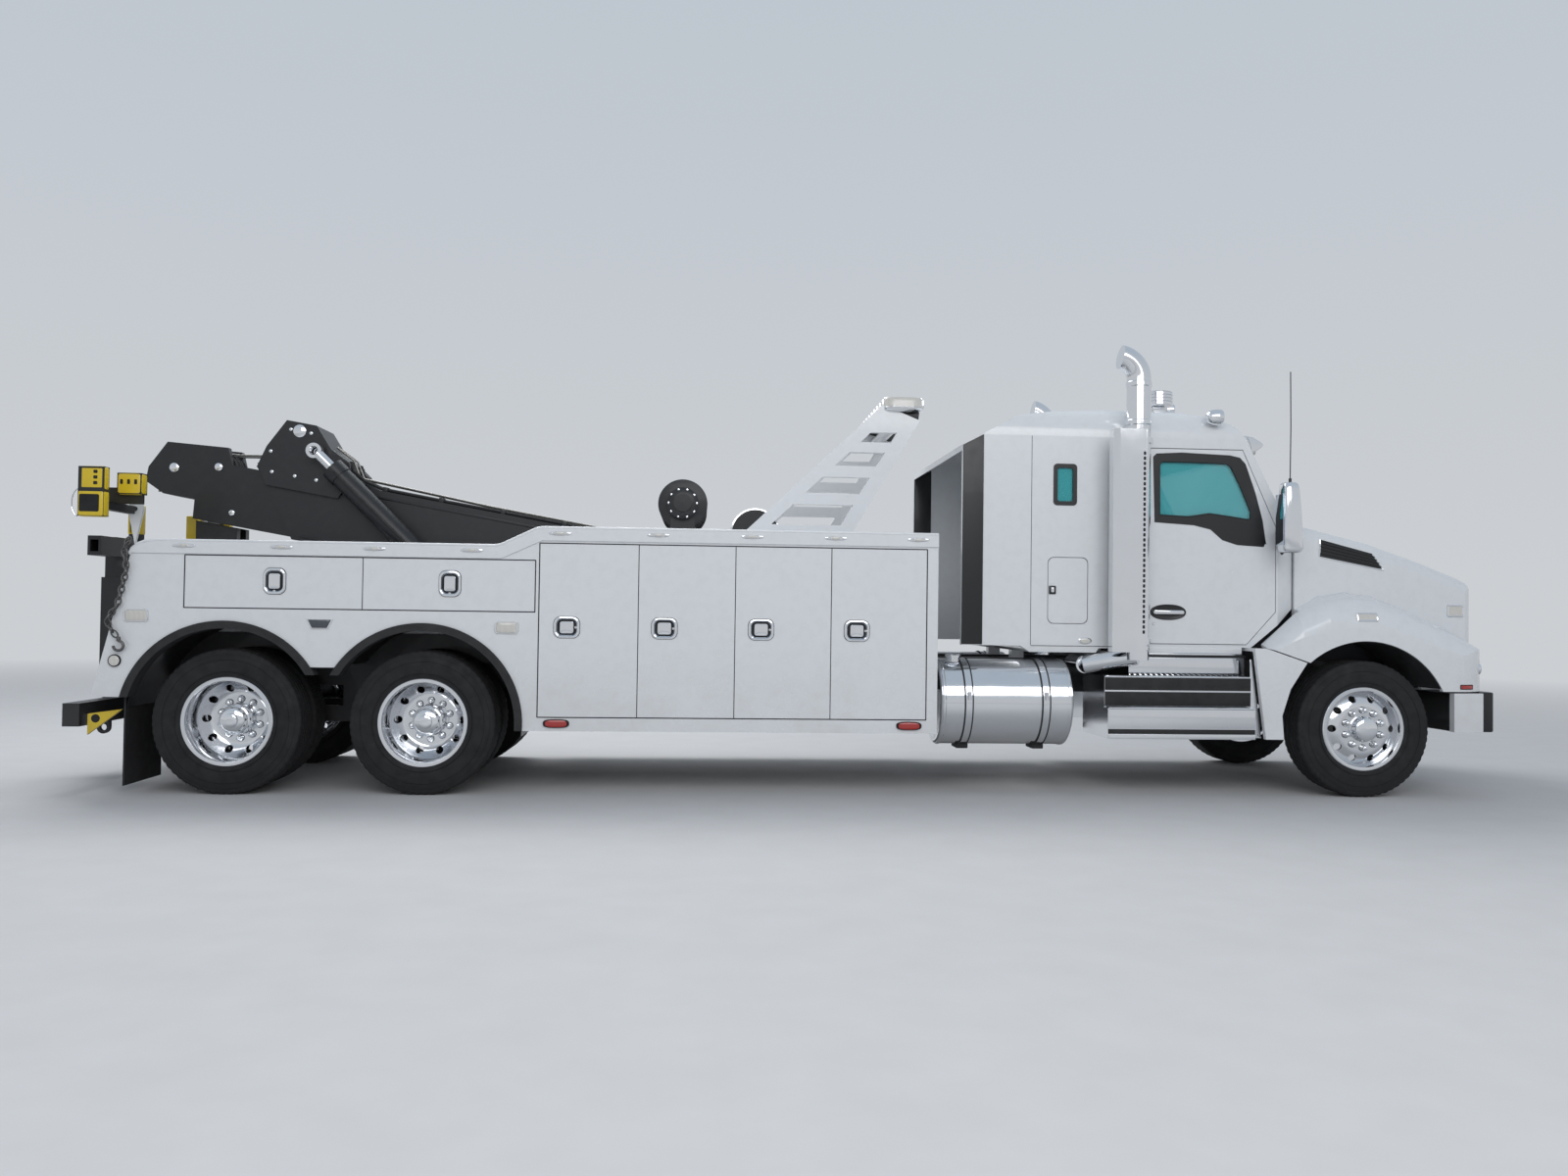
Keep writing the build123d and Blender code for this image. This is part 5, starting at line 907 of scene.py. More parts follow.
for side_name, side in SIDES:
    name = f"cab_door_{side_name}"
    build = Build()
    build.band(placed(surround_outer), placed(surround_inner), two(side, door_y - 0.016, door_y + 0.0025))
    seal = at_y(surround_inner, side * (door_y + 0.001))
    build.tube(seal + seal[:2], 0.005, 8, capped=False)
    build.finish(f"{name}_surround", [black_trim], name, angle=30)
    build = Build()
    handle = (station(1.489), side * door_y, 1.391)
    lock = (station(1.600), side * door_y, 1.300)
    build.dome(handle, oval(0.1415, 0.060, 2.2, 56),
               ((1.0, 0.0003), (0.985, 0.0045), (0.95, 0.0055), (0.90, 0.0035), (0.5, 0.0015)), side, 1)
    build.dome(handle, block(0.121, 0.015, 0.0145, 8), ((1.0, 0.004), (1.0, 0.018), (0.97, 0.024), (0.80, 0.027)),
               side)
    build.dome(lock, oval(0.011, 0.011, 2.0, 20), ((1.0, 0.0003), (1.0, 0.004), (0.8, 0.006)), side)
    build.finish(f"{name}_handle", [chrome, black_trim], name)

# Sleeper: black edges, window frames, luggage door latches, seams and lamps

sleeper_y = 1.060
extender = placed(((3.091, 1.130), (2.932, 1.130), (2.932, 2.722), (3.091, 2.638)))
window = (station(2.371), 2.214), (station(2.232), 2.488)
luggage = (station(2.433), 1.291), (station(2.118), 1.800)
build = Build()
for side in BOTH:
    build.plate(extender, two(side, sleeper_y - 0.001, sleeper_y + 0.006), 0.002)
    build.plate(extender, two(side, sleeper_y - 0.0465, sleeper_y - 0.0395), 0.002)
    build.band(frame_outline(*window, 0.022, 0.030), frame_outline(*window, -0.010, 0.018),
               (side * (sleeper_y - 0.018), side * (sleeper_y + 0.004)))
    faces = two(side, sleeper_y - 0.001, sleeper_y + 0.0008)
    build.slab((2.5625, 2.5585), faces, (1.130, 2.720))
    build.slab((2.5585, 1.802), faces, (1.1225, 1.1265))
build.finish("sleeper_trim", [black_trim], "chassis")

build = Build()
for side in BOTH:
    build.band(frame_outline(*luggage, 0.004, 0.003), frame_outline(*luggage, -0.001, 0.046),
               two(side, sleeper_y - 0.003, sleeper_y + 0.0007))
build.finish("luggage_corners", [white_paint], "chassis")

build = Build()
for side in BOTH:
    centre = (station(2.140), side * sleeper_y, 1.165)
    build.dome(centre, oval(0.052, 0.024, 2.3), ((1.0, 0.0003), (0.98, 0.006), (0.85, 0.008), (0.80, 0.005)), side,
               BRIGHT)
    build.dome(centre, oval(0.041, 0.018, 2.3), ((1.0, 0.004), (0.95, 0.009), (0.6, 0.012)), side, CLEAR)
build.finish("sleeper_lamps", lamp_finishes, "chassis")

for side_name, side in SIDES:
    name = f"luggage_door_{side_name}"
    build = Build()
    centre = (station(2.395), side * sleeper_y, 1.548)
    build.dome(centre, block(0.027, 0.032, 0.007), ((1.0, 0.0003), (1.0, 0.006), (0.9, 0.008)), side, 1)
    build.dome(centre, block(0.012, 0.018, 0.005), ((1.0, 0.007), (0.95, 0.013), (0.6, 0.014)), side)
    build.finish(f"{name}_latch", [chrome, black_trim], name)

# Exhausts: slots in each shield's front edge, with clamps round each stack

stack_x, stack_y, stack_radius = station(1.785), 1.200, 0.090
shield_y = 1.310
slot_pitch, slot_first, slot_count = 0.038, 1.240, 36
clamp = ((stack_radius + 0.0003, 0.0), (stack_radius + 0.006, 0.004), (stack_radius + 0.006, 0.036),
         (stack_radius + 0.0003, 0.040))
build = Build()
for side in BOTH:
    for number in range(slot_count):
        slot = (station(1.776), side * shield_y, slot_first + number * slot_pitch)
        build.dome(slot, block(0.009, 0.013, 0.006), ((1.0, 0.0002), (1.0, 0.0008)), side, 1)
    build.tube(at_y(((1.758, 1.092), (1.758, 2.750)), side * (shield_y - 0.003)), 0.0045, 8)
    for z in (1.100, 2.790, 3.080):
        build.lathe(clamp, (stack_x, side * stack_y, z), 40, "Z")
        low, high = two(side, stack_y - stack_radius - 0.045, stack_y - stack_radius + 0.004)
        build.box((stack_x - 0.012, low, z + 0.004), (stack_x + 0.012, high, z + 0.036), 0.003)
build.finish("exhaust_trim", [chrome, dark_gap], "chassis")

# Hood and fenders: vents, marker lamps, reflectors and seams, laid on the skin's own curve

# Each row of the hood: distance behind the front axle, half width, height of the shoulder
hood_rows = ((0.460, 0.985, 2.103), (-0.197, 0.958, 1.953), (-0.601, 0.942, 1.822), (-0.918, 0.930, 1.706),
             (-1.000, 0.927, 1.668), (-1.045, 0.925, 1.605))
hood_bend = 0.120
# Each row of a fender: distance behind the front axle, half width, height of the crown, fall of its side
fender_rows = ((0.758, 1.208, 1.150, 0.060), (0.494, 1.213, 1.404, 0.190), (0.280, 1.215, 1.530, 0.270),
               (0.061, 1.215, 1.569, 0.300), (-0.160, 1.215, 1.538, 0.290), (-0.374, 1.215, 1.451, 0.250),
               (-0.720, 1.212, 1.290, 0.190), (-1.045, 1.200, 1.110, 0.110))
fender_crown_y, fender_corner, fender_half, hood_front = 0.946, 0.330, 1.215, 1.045


def row_at(rows, behind):
    """A table's values at a place, between its two nearest rows."""
    for rear, front in zip(rows, rows[1:]):
        if behind >= front[0]:
            break
    share = (behind - rear[0]) / (front[0] - rear[0])
    return [rear[item] + share * (front[item] - rear[item]) for item in range(1, len(rear))]


def hood_skin(behind, z):
    """How far out the hood's skin is at a place in side view."""
    half, shoulder = row_at(hood_rows, behind)
    rise = z - (shoulder - hood_bend)
    if rise <= 0:
        return half
    return half - hood_bend + sqrt(max(hood_bend ** 2 - rise ** 2, 0.0))


def fender_skin(behind, z):
    """How far out a fender's skin is at a place in side view."""
    half, crown, fall = row_at(fender_rows, behind)
    rise = min(max((z - (crown - fall)) / fall, 0.0), 1.0)
    reach = fender_crown_y + (half - fender_crown_y) * sqrt(1 - rise ** 2)
    into_corner = -behind - (hood_front - fender_corner)
    if into_corner > 0:
        corner = fender_half - fender_corner + sqrt(max(fender_corner ** 2 - into_corner ** 2, 0.0))
        reach = min(reach, corner)
    return reach


def draped(build, corners, skin, side, proud, mark, across=14, up=6):
    """A patch between four (behind, height) corners, from lower rear round to lower front, laid on a skin."""
    points = []
    for row in range(up + 1):
        for step in range(across + 1):
            u, v = step / across, row / up
            behind, z = (
                (1 - v) * ((1 - u) * corners[0][part] + u * corners[3][part])
                + v * ((1 - u) * corners[1][part] + u * corners[2][part]) for part in (0, 1))
            points.append((station(behind), side * (skin(behind, z) + proud), z))
    build.add(points, strip_faces(up + 1, across + 1, False), mark)


def draped_line(build, places, skin, side, radius, mark, proud):
    """A thin tube that follows a skin through (behind, height) places."""
    line = []
    for start, end in zip(places, places[1:]):
        line += [tuple(start[part] + step / 8 * (end[part] - start[part]) for part in (0, 1)) for step in range(8)]
    line.append(places[-1])
    build.tube([(station(behind), side * (skin(behind, z) + proud), z) for behind, z in line], radius, 8, mark)


def upright_patch(rear, front, low, high):
    """The corners of a patch between two distances behind the axle and two heights."""
    return ((rear, low), (rear, high), (front, high), (front, low))


vent = ((0.255, 1.838), (0.248, 1.972), (-0.185, 1.868), (-0.276, 1.744))
build = Build()
for side in BOTH:
    draped(build, vent, hood_skin, side, 0.0015, 1, 24, 8)
    for share in (0.22, 0.42, 0.62, 0.82):
        line = [tuple(vent[first][part] + share * (vent[second][part] - vent[first][part]) for part in (0, 1))
                for first, second in ((0, 1), (3, 2))]
        draped_line(build, line, hood_skin, side, 0.004, 1, 0.004)
    draped_line(build, (vent[1], vent[0], vent[3], vent[2]), hood_skin, side, 0.0065, 0, 0.001)
    draped_line(build, (vent[1], vent[2]), hood_skin, side, 0.003, 1, 0.001)
build.finish("hood_vents", [chrome, black_trim], "hood")

# Each lamp: its patch and skin, how proud its lens stands, and the edge's finish, radius and rise
hood_lamps = (
    (upright_patch(-0.815, -0.940, 1.392, 1.474), hood_skin, 0.006, CLEAR, BRIGHT, 0.008, 0.002),
    (upright_patch(0.070, -0.085, 1.346, 1.398), fender_skin, 0.010, CLEAR, BRIGHT, 0.010, 0.003),
    (upright_patch(-0.742, -0.852, 0.833, 0.863), fender_skin, 0.004, RED, DARK, 0.004, 0.001),
)
build = Build()
for side in BOTH:
    for corners, skin, proud, lens_mark, edge_mark, edge_radius, edge_proud in hood_lamps:
        draped(build, corners, skin, side, proud, lens_mark)
        draped_line(build, corners + corners[:1], skin, side, edge_radius, edge_mark, edge_proud)
build.finish("hood_lamps", lamp_finishes, "hood")

build = Build()
for side in BOTH:
    for y in (0.985, 1.085):
        inward = sqrt(fender_corner ** 2 - (y - (fender_half - fender_corner)) ** 2)
        front = station(-(hood_front - fender_corner + inward))
        for radius, lift, mark in ((0.046, 0.0, BRIGHT), (0.034, 0.002, CLEAR)):
            profile = ((radius, -0.020), (radius, 0.012), (radius - 0.005, 0.016), (0.6 * radius, 0.020),
                       (0.0, 0.021))
            build.lathe(profile, (front - 0.026 + lift, side * y, 0.985), 32, "X", mark, closed=False)
build.finish("headlamp_lenses", lamp_finishes, "hood")

# Front: black bumper centre, radiator core behind the grille, grille surround

bumper_edge = ((0.930, 1.145), (1.030, 1.150), (1.053, 1.135), (1.067, 1.070))
bumper_plan = [(station(-ahead), -y) for ahead, y in bumper_edge] + [(station(-1.068), 0.0)]
bumper_plan += [(station(-ahead), y) for ahead, y in reversed(bumper_edge)]
build = Build()
build.plate(bumper_plan, (0.500, 0.806), 0.010, axis="Z")
build.finish("bumper_centre", [black_trim], "chassis")

fin_count, fin_first, fin_pitch, fin_half = 40, -0.390, 0.020, 0.002
build = Build()
build.slab((-0.830, -0.900), (-0.400, 0.400), (0.801, 1.450), 0.010)
for number in range(fin_count):
    y = fin_first + number * fin_pitch
    build.slab((-0.900, -0.906), (y - fin_half, y + fin_half), (0.83, 1.43), mark=1)
build.finish("radiator", [dark_gap, drilled], "chassis")

ring_outer = rounded(-0.446, 0.884, 0.446, 1.556, 0.030)
ring_inner = rounded(-0.424, 0.906, 0.424, 1.534, 0.020)
build = Build()
build.layers([[(station(-ahead), y, z) for y, z in outline] for outline, ahead in (
    (ring_outer, 1.046), (ring_outer, 1.058), (ring_inner, 1.062), (ring_inner, 1.046))], capped=False)
for z in (1.055, 1.220, 1.385):
    build.slab((-1.044, -1.057), (-0.424, 0.424), (z - 0.004, z + 0.004), 0.002)
build.finish("grille_surround", [chrome], "hood")

# Mirrors: tapered chrome shells on black arms, with the aerial

# Each row of a shell: height, distance behind the front axle, half depth and half width
mirror_rows = ((1.852, 0.634, 0.064, 0.060), (1.860, 0.638, 0.076, 0.072), (1.885, 0.639, 0.081, 0.078),
               (2.040, 0.640, 0.080, 0.080), (2.180, 0.642, 0.074, 0.077), (2.320, 0.646, 0.065, 0.070),
               (2.362, 0.648, 0.059, 0.064), (2.376, 0.649, 0.046, 0.050))
mirror_y, mirror_steps = 1.270, 36
arm_z, arm_steps = 1.950, 4
build = Build()
for side in BOTH:
    middle_y = side * mirror_y
    loops = [[(station(behind) + a, middle_y + b, z) for a, b in oval(half_x, half_y, 3.2, mirror_steps)]
             for z, behind, half_x, half_y in mirror_rows]
    build.layers(loops)
    build.add(loops[0], [tuple(range(mirror_steps))], 1)
    build.slab((0.722, 0.716), (middle_y - 0.062, middle_y + 0.062), (1.905, 2.290), 0.003, 2)
    loops = []
    for step in range(arm_steps + 1):
        share = step / arm_steps
        x, y = station(0.600 + 0.030 * share), side * (1.020 + 0.180 * share)
        loops.append([(x + a, y, arm_z + b) for a, b in oval(0.03, 0.085 - 0.030 * share, 3.0, 24)])
    build.layers(loops, 1)
    build.dome((station(0.602), side * 1.008, arm_z), oval(0.055, 0.110, 2.6, 32),
               ((1.0, 0.0), (1.0, 0.016), (0.85, 0.026), (0.5, 0.030)), side, 1)
aerial_x = station(0.640)
build.tube([(aerial_x, -mirror_y, 2.370), (aerial_x, -mirror_y, 2.410)], 0.011, 12, 1)
build.tube([(aerial_x, -mirror_y, 2.405), (aerial_x + 0.004, -mirror_y, 2.800), (aerial_x, -mirror_y, 3.216)],
           0.0042, 8, 1)
made = build.finish("mirrors_dressed", [chrome, black_trim, mirror_glass], "chassis", angle=50)
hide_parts("mirrors")

# Roof: visor, beacons on a bar, work lamps and spotlights

visor = placed(((0.886, 2.739), (0.917, 2.790), (0.900, 2.797), (0.754, 2.772), (0.690, 2.736), (0.668, 2.716),
                (0.684, 2.694), (0.765, 2.640), (0.795, 2.652), (0.800, 2.672)))
beacon_x, beacon_y, beacon_z = station(1.391), 0.560, 3.052
beacon = [(0.0, 0.0), (0.112, 0.0), (0.116, 0.006)]
for base in (0.010, 0.036, 0.062, 0.088):
    beacon += [(0.116, base), (0.116, base + 0.012), (0.101, base + 0.015), (0.101, base + 0.023)]
beacon += [(0.113, 0.112), (0.106, 0.116), (0.060, 0.120), (0.0, 0.120)]
work_lamp_x, work_lamp_y = station(1.240), 0.300
work_lamp = ((0.0, 0.0), (0.020, 0.002), (0.040, 0.016), (0.046, 0.040), (0.046, 0.080), (0.041, 0.080),
             (0.041, 0.074))
spot_lamp = ((0.0, 0.0), (0.026, 0.003), (0.046, 0.018), (0.057, 0.045), (0.062, 0.080), (0.062, 0.112),
             (0.058, 0.120), (0.054, 0.114))
stem_y, stem_z, stem_lean = 0.808, 2.723, radians(32)
build = Build()
build.plate(visor, (-0.900, 0.900), 0.006)
build.slab((0.775, 0.700), (-0.840, 0.840), (2.643, 2.690), 0.012, 2)
for y in (-0.66, -0.33, 0.0, 0.33, 0.66):
    build.slab((0.790, 0.745), (y - 0.060, y + 0.060), (2.760, 2.792), 0.010, 4)
for side in BOTH:
    y = side * beacon_y
    build.lathe(beacon, (beacon_x, y, beacon_z), 56, "Z", closed=False)
    build.box((beacon_x - 0.055, y - 0.045, 2.950), (beacon_x + 0.055, y + 0.045, 3.030), 0.012, 1)
    y = side * work_lamp_y
    build.lathe(work_lamp, (work_lamp_x, y, 3.078), 36, "X", closed=False)
    build.lathe(((0.041, 0.074), (0.030, 0.080), (0.0, 0.083)), (work_lamp_x, y, 3.078), 36, "X", 2, closed=False)
    build.box((beacon_x, y - 0.014, 3.026), (station(1.160) - 0.020, y + 0.014, 3.050), 0.004)
    spot, *stem = [(station(behind), side * (stem_y + reach * cos(stem_lean)), stem_z + reach * sin(stem_lean))
                   for behind, reach in ((1.210, 0.315), (1.150, 0.2425), (1.150, 0.256), (1.150, 0.270))]
    build.lathe(spot_lamp, spot, 40, "X", closed=False)
    build.lathe(((0.055, 0.112), (0.035, 0.119), (0.0, 0.122)), spot, 40, "X", 2, closed=False)
    build.tube(stem, 0.015, 14)
    build.tube(stem[:2], 0.030, 18)
build.box((beacon_x - 0.050, -0.590, 3.025), (beacon_x + 0.050, 0.590, 3.052), 0.008)
made = build.finish("roof_dressed", [chrome, white_paint, lamp_clear, lamp_red, lamp_amber], "chassis")
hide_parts("roof_fittings")

# Light bar: a level bar of lenses on the pylon's top

bar_x, bar_half = (station(3.643), station(3.318)), 0.700
bar_middle, bar_half_x = (bar_x[0] + bar_x[1]) / 2, (bar_x[1] - bar_x[0]) / 2
bar_feet = placed(((3.630, 2.962), (3.345, 2.950), (3.352, 2.885), (3.400, 2.885)))
rib_count, rib_first, rib_pitch = 9, -0.62, 0.155


def bar_loops(rows):
    """Outlines of the bar from above, each row its scale and its height."""
    return [[(bar_middle + a, b, z) for a, b in block(bar_half_x * scale, bar_half - bar_half_x * (1 - scale),
                                                      0.10 * scale, 7)] for scale, z in rows]


build = Build()
build.layers(bar_loops(((0.70, 2.946), (0.97, 2.958), (1.0, 2.966), (1.0, 2.980), (0.96, 2.986))))
build.layers(bar_loops(((0.975, 2.984), (0.975, 3.040), (0.93, 3.056), (0.6, 3.061))), 1)
for number in range(rib_count):
    y = rib_first + number * rib_pitch
    for x in (bar_x[0] + 0.003, bar_x[1] - 0.003):
        build.box((x - 0.008, y - 0.005, 2.982), (x + 0.008, y + 0.005, 3.044), 0.002)
    build.box((bar_x[0] + 0.01, y - 0.005, 3.040), (bar_x[1] - 0.01, y + 0.005, 3.0625), 0.002)
for side in BOTH:
    build.plate(bar_feet, two(side, 0.560, 0.600), 0.003, mark=2)
made = build.finish("light_bar_dressed", [polished, lamp_clear, black_trim], "chassis")
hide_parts("light_bar")

# Winches: wound drums with flanges, motors and gearboxes, and the hose reel behind them

winch_x, winch_z = station(5.207), 2.200
drum_inner_y, drum_outer_y = 0.225, 0.475
flange = ((0.0, 0.0), (0.188, 0.0), (0.195, 0.004), (0.195, 0.016), (0.188, 0.020), (0.0, 0.020))
gearbox = ((0.0, 0.018), (0.125, 0.018), (0.125, 0.060), (0.100, 0.075), (0.070, 0.080), (0.070, 0.110),
           (0.0, 0.112))
bolt = ((0.0, 0.058), (0.009, 0.058), (0.009, 0.070), (0.0, 0.072))
bolt_circle, bolt_count = 0.110, 10
cable_turns = 13
turn_width = (drum_outer_y - drum_inner_y - 0.040) / cable_turns
wound = [(0.10, 0.0)]
for number in range(cable_turns):
    wound += [(0.150 + 0.007 * sin(pi * step / 4), (number + step / 4) * turn_width) for step in range(5)]
wound.append((0.10, cable_turns * turn_width))
build = Build()
for side in BOTH:
    low, high = two(side, drum_inner_y, drum_outer_y)
    outer = side * drum_outer_y
    for start in (low, high - 0.020):
        build.lathe(flange, (winch_x, start, winch_z), 56)
    build.lathe(wound, (winch_x, low + 0.020, winch_z), 56, mark=1, closed=False)
    build.lathe(outwards(side, gearbox), (winch_x, outer, winch_z), 40, closed=False)
    for number in range(bolt_count):
        turn = 2 * pi * number / bolt_count
        middle = (winch_x + bolt_circle * cos(turn), outer, winch_z + bolt_circle * sin(turn))
        build.lathe(outwards(side, bolt), middle, 8, mark=2, closed=False)
made = build.finish("winches_dressed", [boom_black, cable, chrome], "chassis")
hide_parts("winches")

reel = (station(4.615), 0.0, 2.000)
reel_hub_z, reel_foot_z = reel[2] + 0.04, 1.2115
reel_foot = [(reel[0] - 0.16, reel_foot_z), (reel[0] + 0.16, reel_foot_z), (reel[0] + 0.05, reel_hub_z),
             (reel[0] - 0.05, reel_hub_z)]
hose_turn = [(0.150 + 0.017 * cos(radians(45 * step)), 0.017 * sin(radians(45 * step))) for step in range(8)]
build = Build()
for start in (-0.150, 0.140):
    centre = (reel[0], start, reel[2])
    build.lathe(((0.192, 0.0), (0.203, 0.002), (0.203, 0.008), (0.192, 0.010)), centre, 64, mark=2)
    build.disc(0.192, (0.002, 0.008), centre, 64)
for row in range(8):
    build.lathe(hose_turn, (reel[0], -0.122 + row * 0.035, reel[2]), 48, mark=1)
build.disc(0.135, (-0.14, 0.14), reel, 32)
for side in BOTH:
    build.plate(reel_foot, two(side, 0.172, 0.184), 0.002)
build.tube([(reel[0], -0.184, reel[2]), (reel[0], 0.184, reel[2])], 0.022, 16)
build.finish("hose_reel", [boom_black, rubber, chrome], "chassis")

# Boom: hoses, cables, sheaves, pins and ribs, placed along the boom and square to it

boom_pivot = (station(5.250), 1.650)
boom_rise = radians(9.9)
side_plate_y = (0.189, 0.198)


def on_boom(along, up, y=0.0):
    """The world's place of a point along the boom from its pivot, and square to it."""
    return (boom_pivot[0] - along * cos(boom_rise) + up * sin(boom_rise), y,
            boom_pivot[1] + along * sin(boom_rise) + up * cos(boom_rise))


def boom_strip(build, alongs, ups, y_span, bevel):
    """A strip in the boom's own side view, between two Y values."""
    corners = [on_boom(alongs[a], ups[b]) for a, b in ((0, 0), (1, 0), (1, 1), (0, 1))]
    build.plate([(x, z) for x, _, z in corners], y_span, bevel)


def boom_pin(build, along, up, radius, y_span):
    """A pin across the boom with its ends turned down."""
    x, _, z = on_boom(along, up)
    low, high = y_span
    build.lathe(((0.0, low), (radius * 0.85, low), (radius, low + 0.1 * radius), (radius, high - 0.1 * radius),
                 (radius * 0.85, high), (0.0, high)), (x, 0.0, z), 32, mark=2)


hose_path = ((0.20, 0.236), (0.60, 0.232), (1.20, 0.231), (1.90, 0.231), (2.45, 0.234), (2.60, 0.270), (2.70, 0.330),
             (2.735, 0.400))
saddle_bolts = ((2.78, 0.30), (2.95, 0.20), (3.12, 0.20), (3.30, 0.20), (3.34, 0.36), (3.22, 0.56), (3.06, 0.56))
build = Build()
for side in BOTH:
    for out in (0.120, 0.154):
        build.tube([on_boom(along, up, side * out) for along, up in hose_path], 0.013, 10, 1)
    for along in (0.45, 0.95, 1.45, 1.95, 2.40):
        boom_strip(build, (along, along + 0.04), (0.214, 0.252), two(side, 0.095, 0.180), 0.004)
    # Ribs along the side plate, then the pins and the saddle's bolts
    boom_strip(build, (0.34, 2.60), (0.150, 0.172), two(side, *side_plate_y), 0.003)
    boom_strip(build, (0.98, 3.00), (-0.272, -0.250), two(side, *side_plate_y), 0.003)
    boom_pin(build, 2.975, 0.420, 0.030, two(side, 0.245, 0.252))
    boom_pin(build, 0.0, 0.0, 0.040, two(side, 0.236, 0.246))
    boom_pin(build, 3.150, 0.560, 0.050, two(side, 0.224, 0.236))
    for along, up in saddle_bolts:
        boom_pin(build, along, up, 0.013, two(side, 0.224, 0.231))
build.finish("boom_fittings", [boom_black, rubber, chrome], "boom")

cable_y, cable_radius = 0.060, 0.0085
build = Build()
for side in BOTH:
    for path in (((0.36, 0.260), (1.60, 0.262), (2.66, 0.290)), ((2.66, 0.290), (2.74, 0.420), (2.89, 0.500))):
        build.tube([on_boom(along, up, side * cable_y) for along, up in path], cable_radius, 8)
build.finish("winch_cables", [cable], "boom")

# Cables from the saddle to the head, over the small sheave and the large one, with an end at the head's tip
head_path = [(3.395, 0.330), (3.64, 0.287)]
head_path += [(3.730 + 0.119 * cos(radians(180 - degree)), 0.160 + 0.119 * sin(radians(degree)))
              for degree in (105, 90, 75)]
head_path += [(4.065 + 0.139 * cos(radians(degree)), 0.090 + 0.139 * sin(radians(degree)))
              for degree in (100, 70, 40, 10, -20)]
head_path.append((4.190, -0.120))
build = Build()
for side in BOTH:
    build.tube([on_boom(along, up, side * cable_y) for along, up in head_path], cable_radius, 8)
    for along, up, radius in ((4.065, 0.090, 0.130), (3.730, 0.160, 0.110)):
        x, _, z = on_boom(along, up)
        guard = ((radius, -0.005), (radius + 0.012, -0.003), (radius + 0.012, 0.003), (radius, 0.005))
        for start in two(side, 0.022, 0.098):
            build.lathe(guard, (x, start, z), 40, mark=1)
    for along, up, radius in ((4.065, 0.090, 0.036), (3.730, 0.160, 0.030), (3.560, -0.180, 0.022)):
        boom_pin(build, along, up, radius, two(side, 0.170, 0.182))
build.finish("head_fittings", [cable, boom_black, chrome], "boom_slide")

# Lift cylinders: end caps and a hose on each barrel

lift_foot = Vector((station(6.830), 0.0, 1.330))
lift_top = Vector(on_boom(2.975, 0.420))
lift_way = (lift_top - lift_foot).normalized()
lift_length = (lift_top - lift_foot).length
cylinder_y, cap_radius = 0.320, 0.092
build = Build()
for side in BOTH:
    foot = lift_foot + Vector((0, side * cylinder_y, 0))
    for start, end in ((0.100, 0.150), (lift_length - 0.290, lift_length - 0.192)):
        build.tube([foot + lift_way * start, foot + lift_way * end], cap_radius, 36)
    beside = foot + Vector((0, side * 0.098, 0))
    build.tube([beside + lift_way * along for along in (0.14, 0.5, 1.0, lift_length - 0.24)], 0.010, 8, 1)
build.finish("lift_fittings", [boom_black, rubber], "lift_barrels")

# Tailboard: yellow receivers with their dark openings, lifting blocks, a retaining loop and a foot

build = Build()
for side in BOTH:
    low, high = two(side, 1.106, 1.194)
    outer = side * 1.1945
    build.slab((9.471, 9.288), (low, high), (1.966, 2.150), 0.016)
    build.slab((9.462, 9.286), (low + 0.003, high - 0.003), (2.154, 2.326), 0.022)
    build.dome((station(9.388), outer, 2.062), block(0.068, 0.062, 0.012),
               ((1.0, -0.002), (1.0, 0.002), (0.92, 0.0005)), side, 1)
    for z in (2.205, 2.245, 2.285):
        build.dome((station(9.350), side * 1.191, z), block(0.014, 0.012, 0.006), ((1.0, -0.001), (1.0, 0.001)),
                   side, 1)
    turns = [radians(100 + 10 * step) for step in range(17)]
    build.tube([(station(9.455) + 0.050 * cos(turn), outer + side * 0.004, 2.062 + 0.098 * sin(turn))
                for turn in turns], 0.005, 8, 2)
    build.slab((9.316, 9.140), two(side, 0.846, 0.954), (2.147, 2.308), 0.022)
    for behind in (9.280, 9.230, 9.180):
        build.dome((station(behind), side * 0.9545, 2.240), block(0.010, 0.018, 0.007),
                   ((1.0, -0.002), (1.0, 0.001)), side, 1)
    build.slab((9.406, 9.314), two(side, 0.474, 0.566), (1.880, 2.100), 0.008)
    for behind in (9.385, 9.360, 9.335):
        build.dome((station(behind), side * 0.566, 1.985), block(0.004, 0.095, 0.003),
                   ((1.0, -0.002), (1.0, 0.001)), side, 1)
    build.plate(placed(((9.401, 0.563), (9.163, 0.597), (9.401, 0.413))), two(side, 1.087, 1.113), 0.002)
    build.dome((station(9.345), side * 1.1135, 0.530), oval(0.030, 0.030, 2.0, 28), ((1.0, -0.001), (1.0, 0.0008)),
               side, 1)
build.finish("receivers", [yellow, dark_gap, chrome], "chassis")

# Chains that hang at the rear corners, and the white snatch blocks beside the posts

chain_y, link_pitch = 1.306, 0.044
link_half_long, link_half_wide, link_radius = 0.031, 0.0185, 0.0062
chain_path = ((9.062, 1.790), (9.089, 1.740), (9.068, 1.593), (9.095, 1.469), (9.127, 1.334), (9.196, 1.235),
              (9.158, 1.161), (9.120, 1.115))
block_x, block_z, cheek_radius = station(9.335), 2.069, 0.057
cheek = [(block_x + cheek_radius * cos(radians(turn)), block_z + cheek_radius * sin(radians(turn)))
         for turn in range(-20, 201, 20)]
cheek.append((block_x, 1.796))


def add_link(build, middle, along, face):
    """A chain link: a round bar bent to an oval in the plane of along and face."""
    turns = [2 * pi * step / 14 for step in range(15)]
    build.tube([middle + link_half_long * cos(turn) * along + link_half_wide * sin(turn) * face for turn in turns],
               link_radius, 6, 1, capped=False)


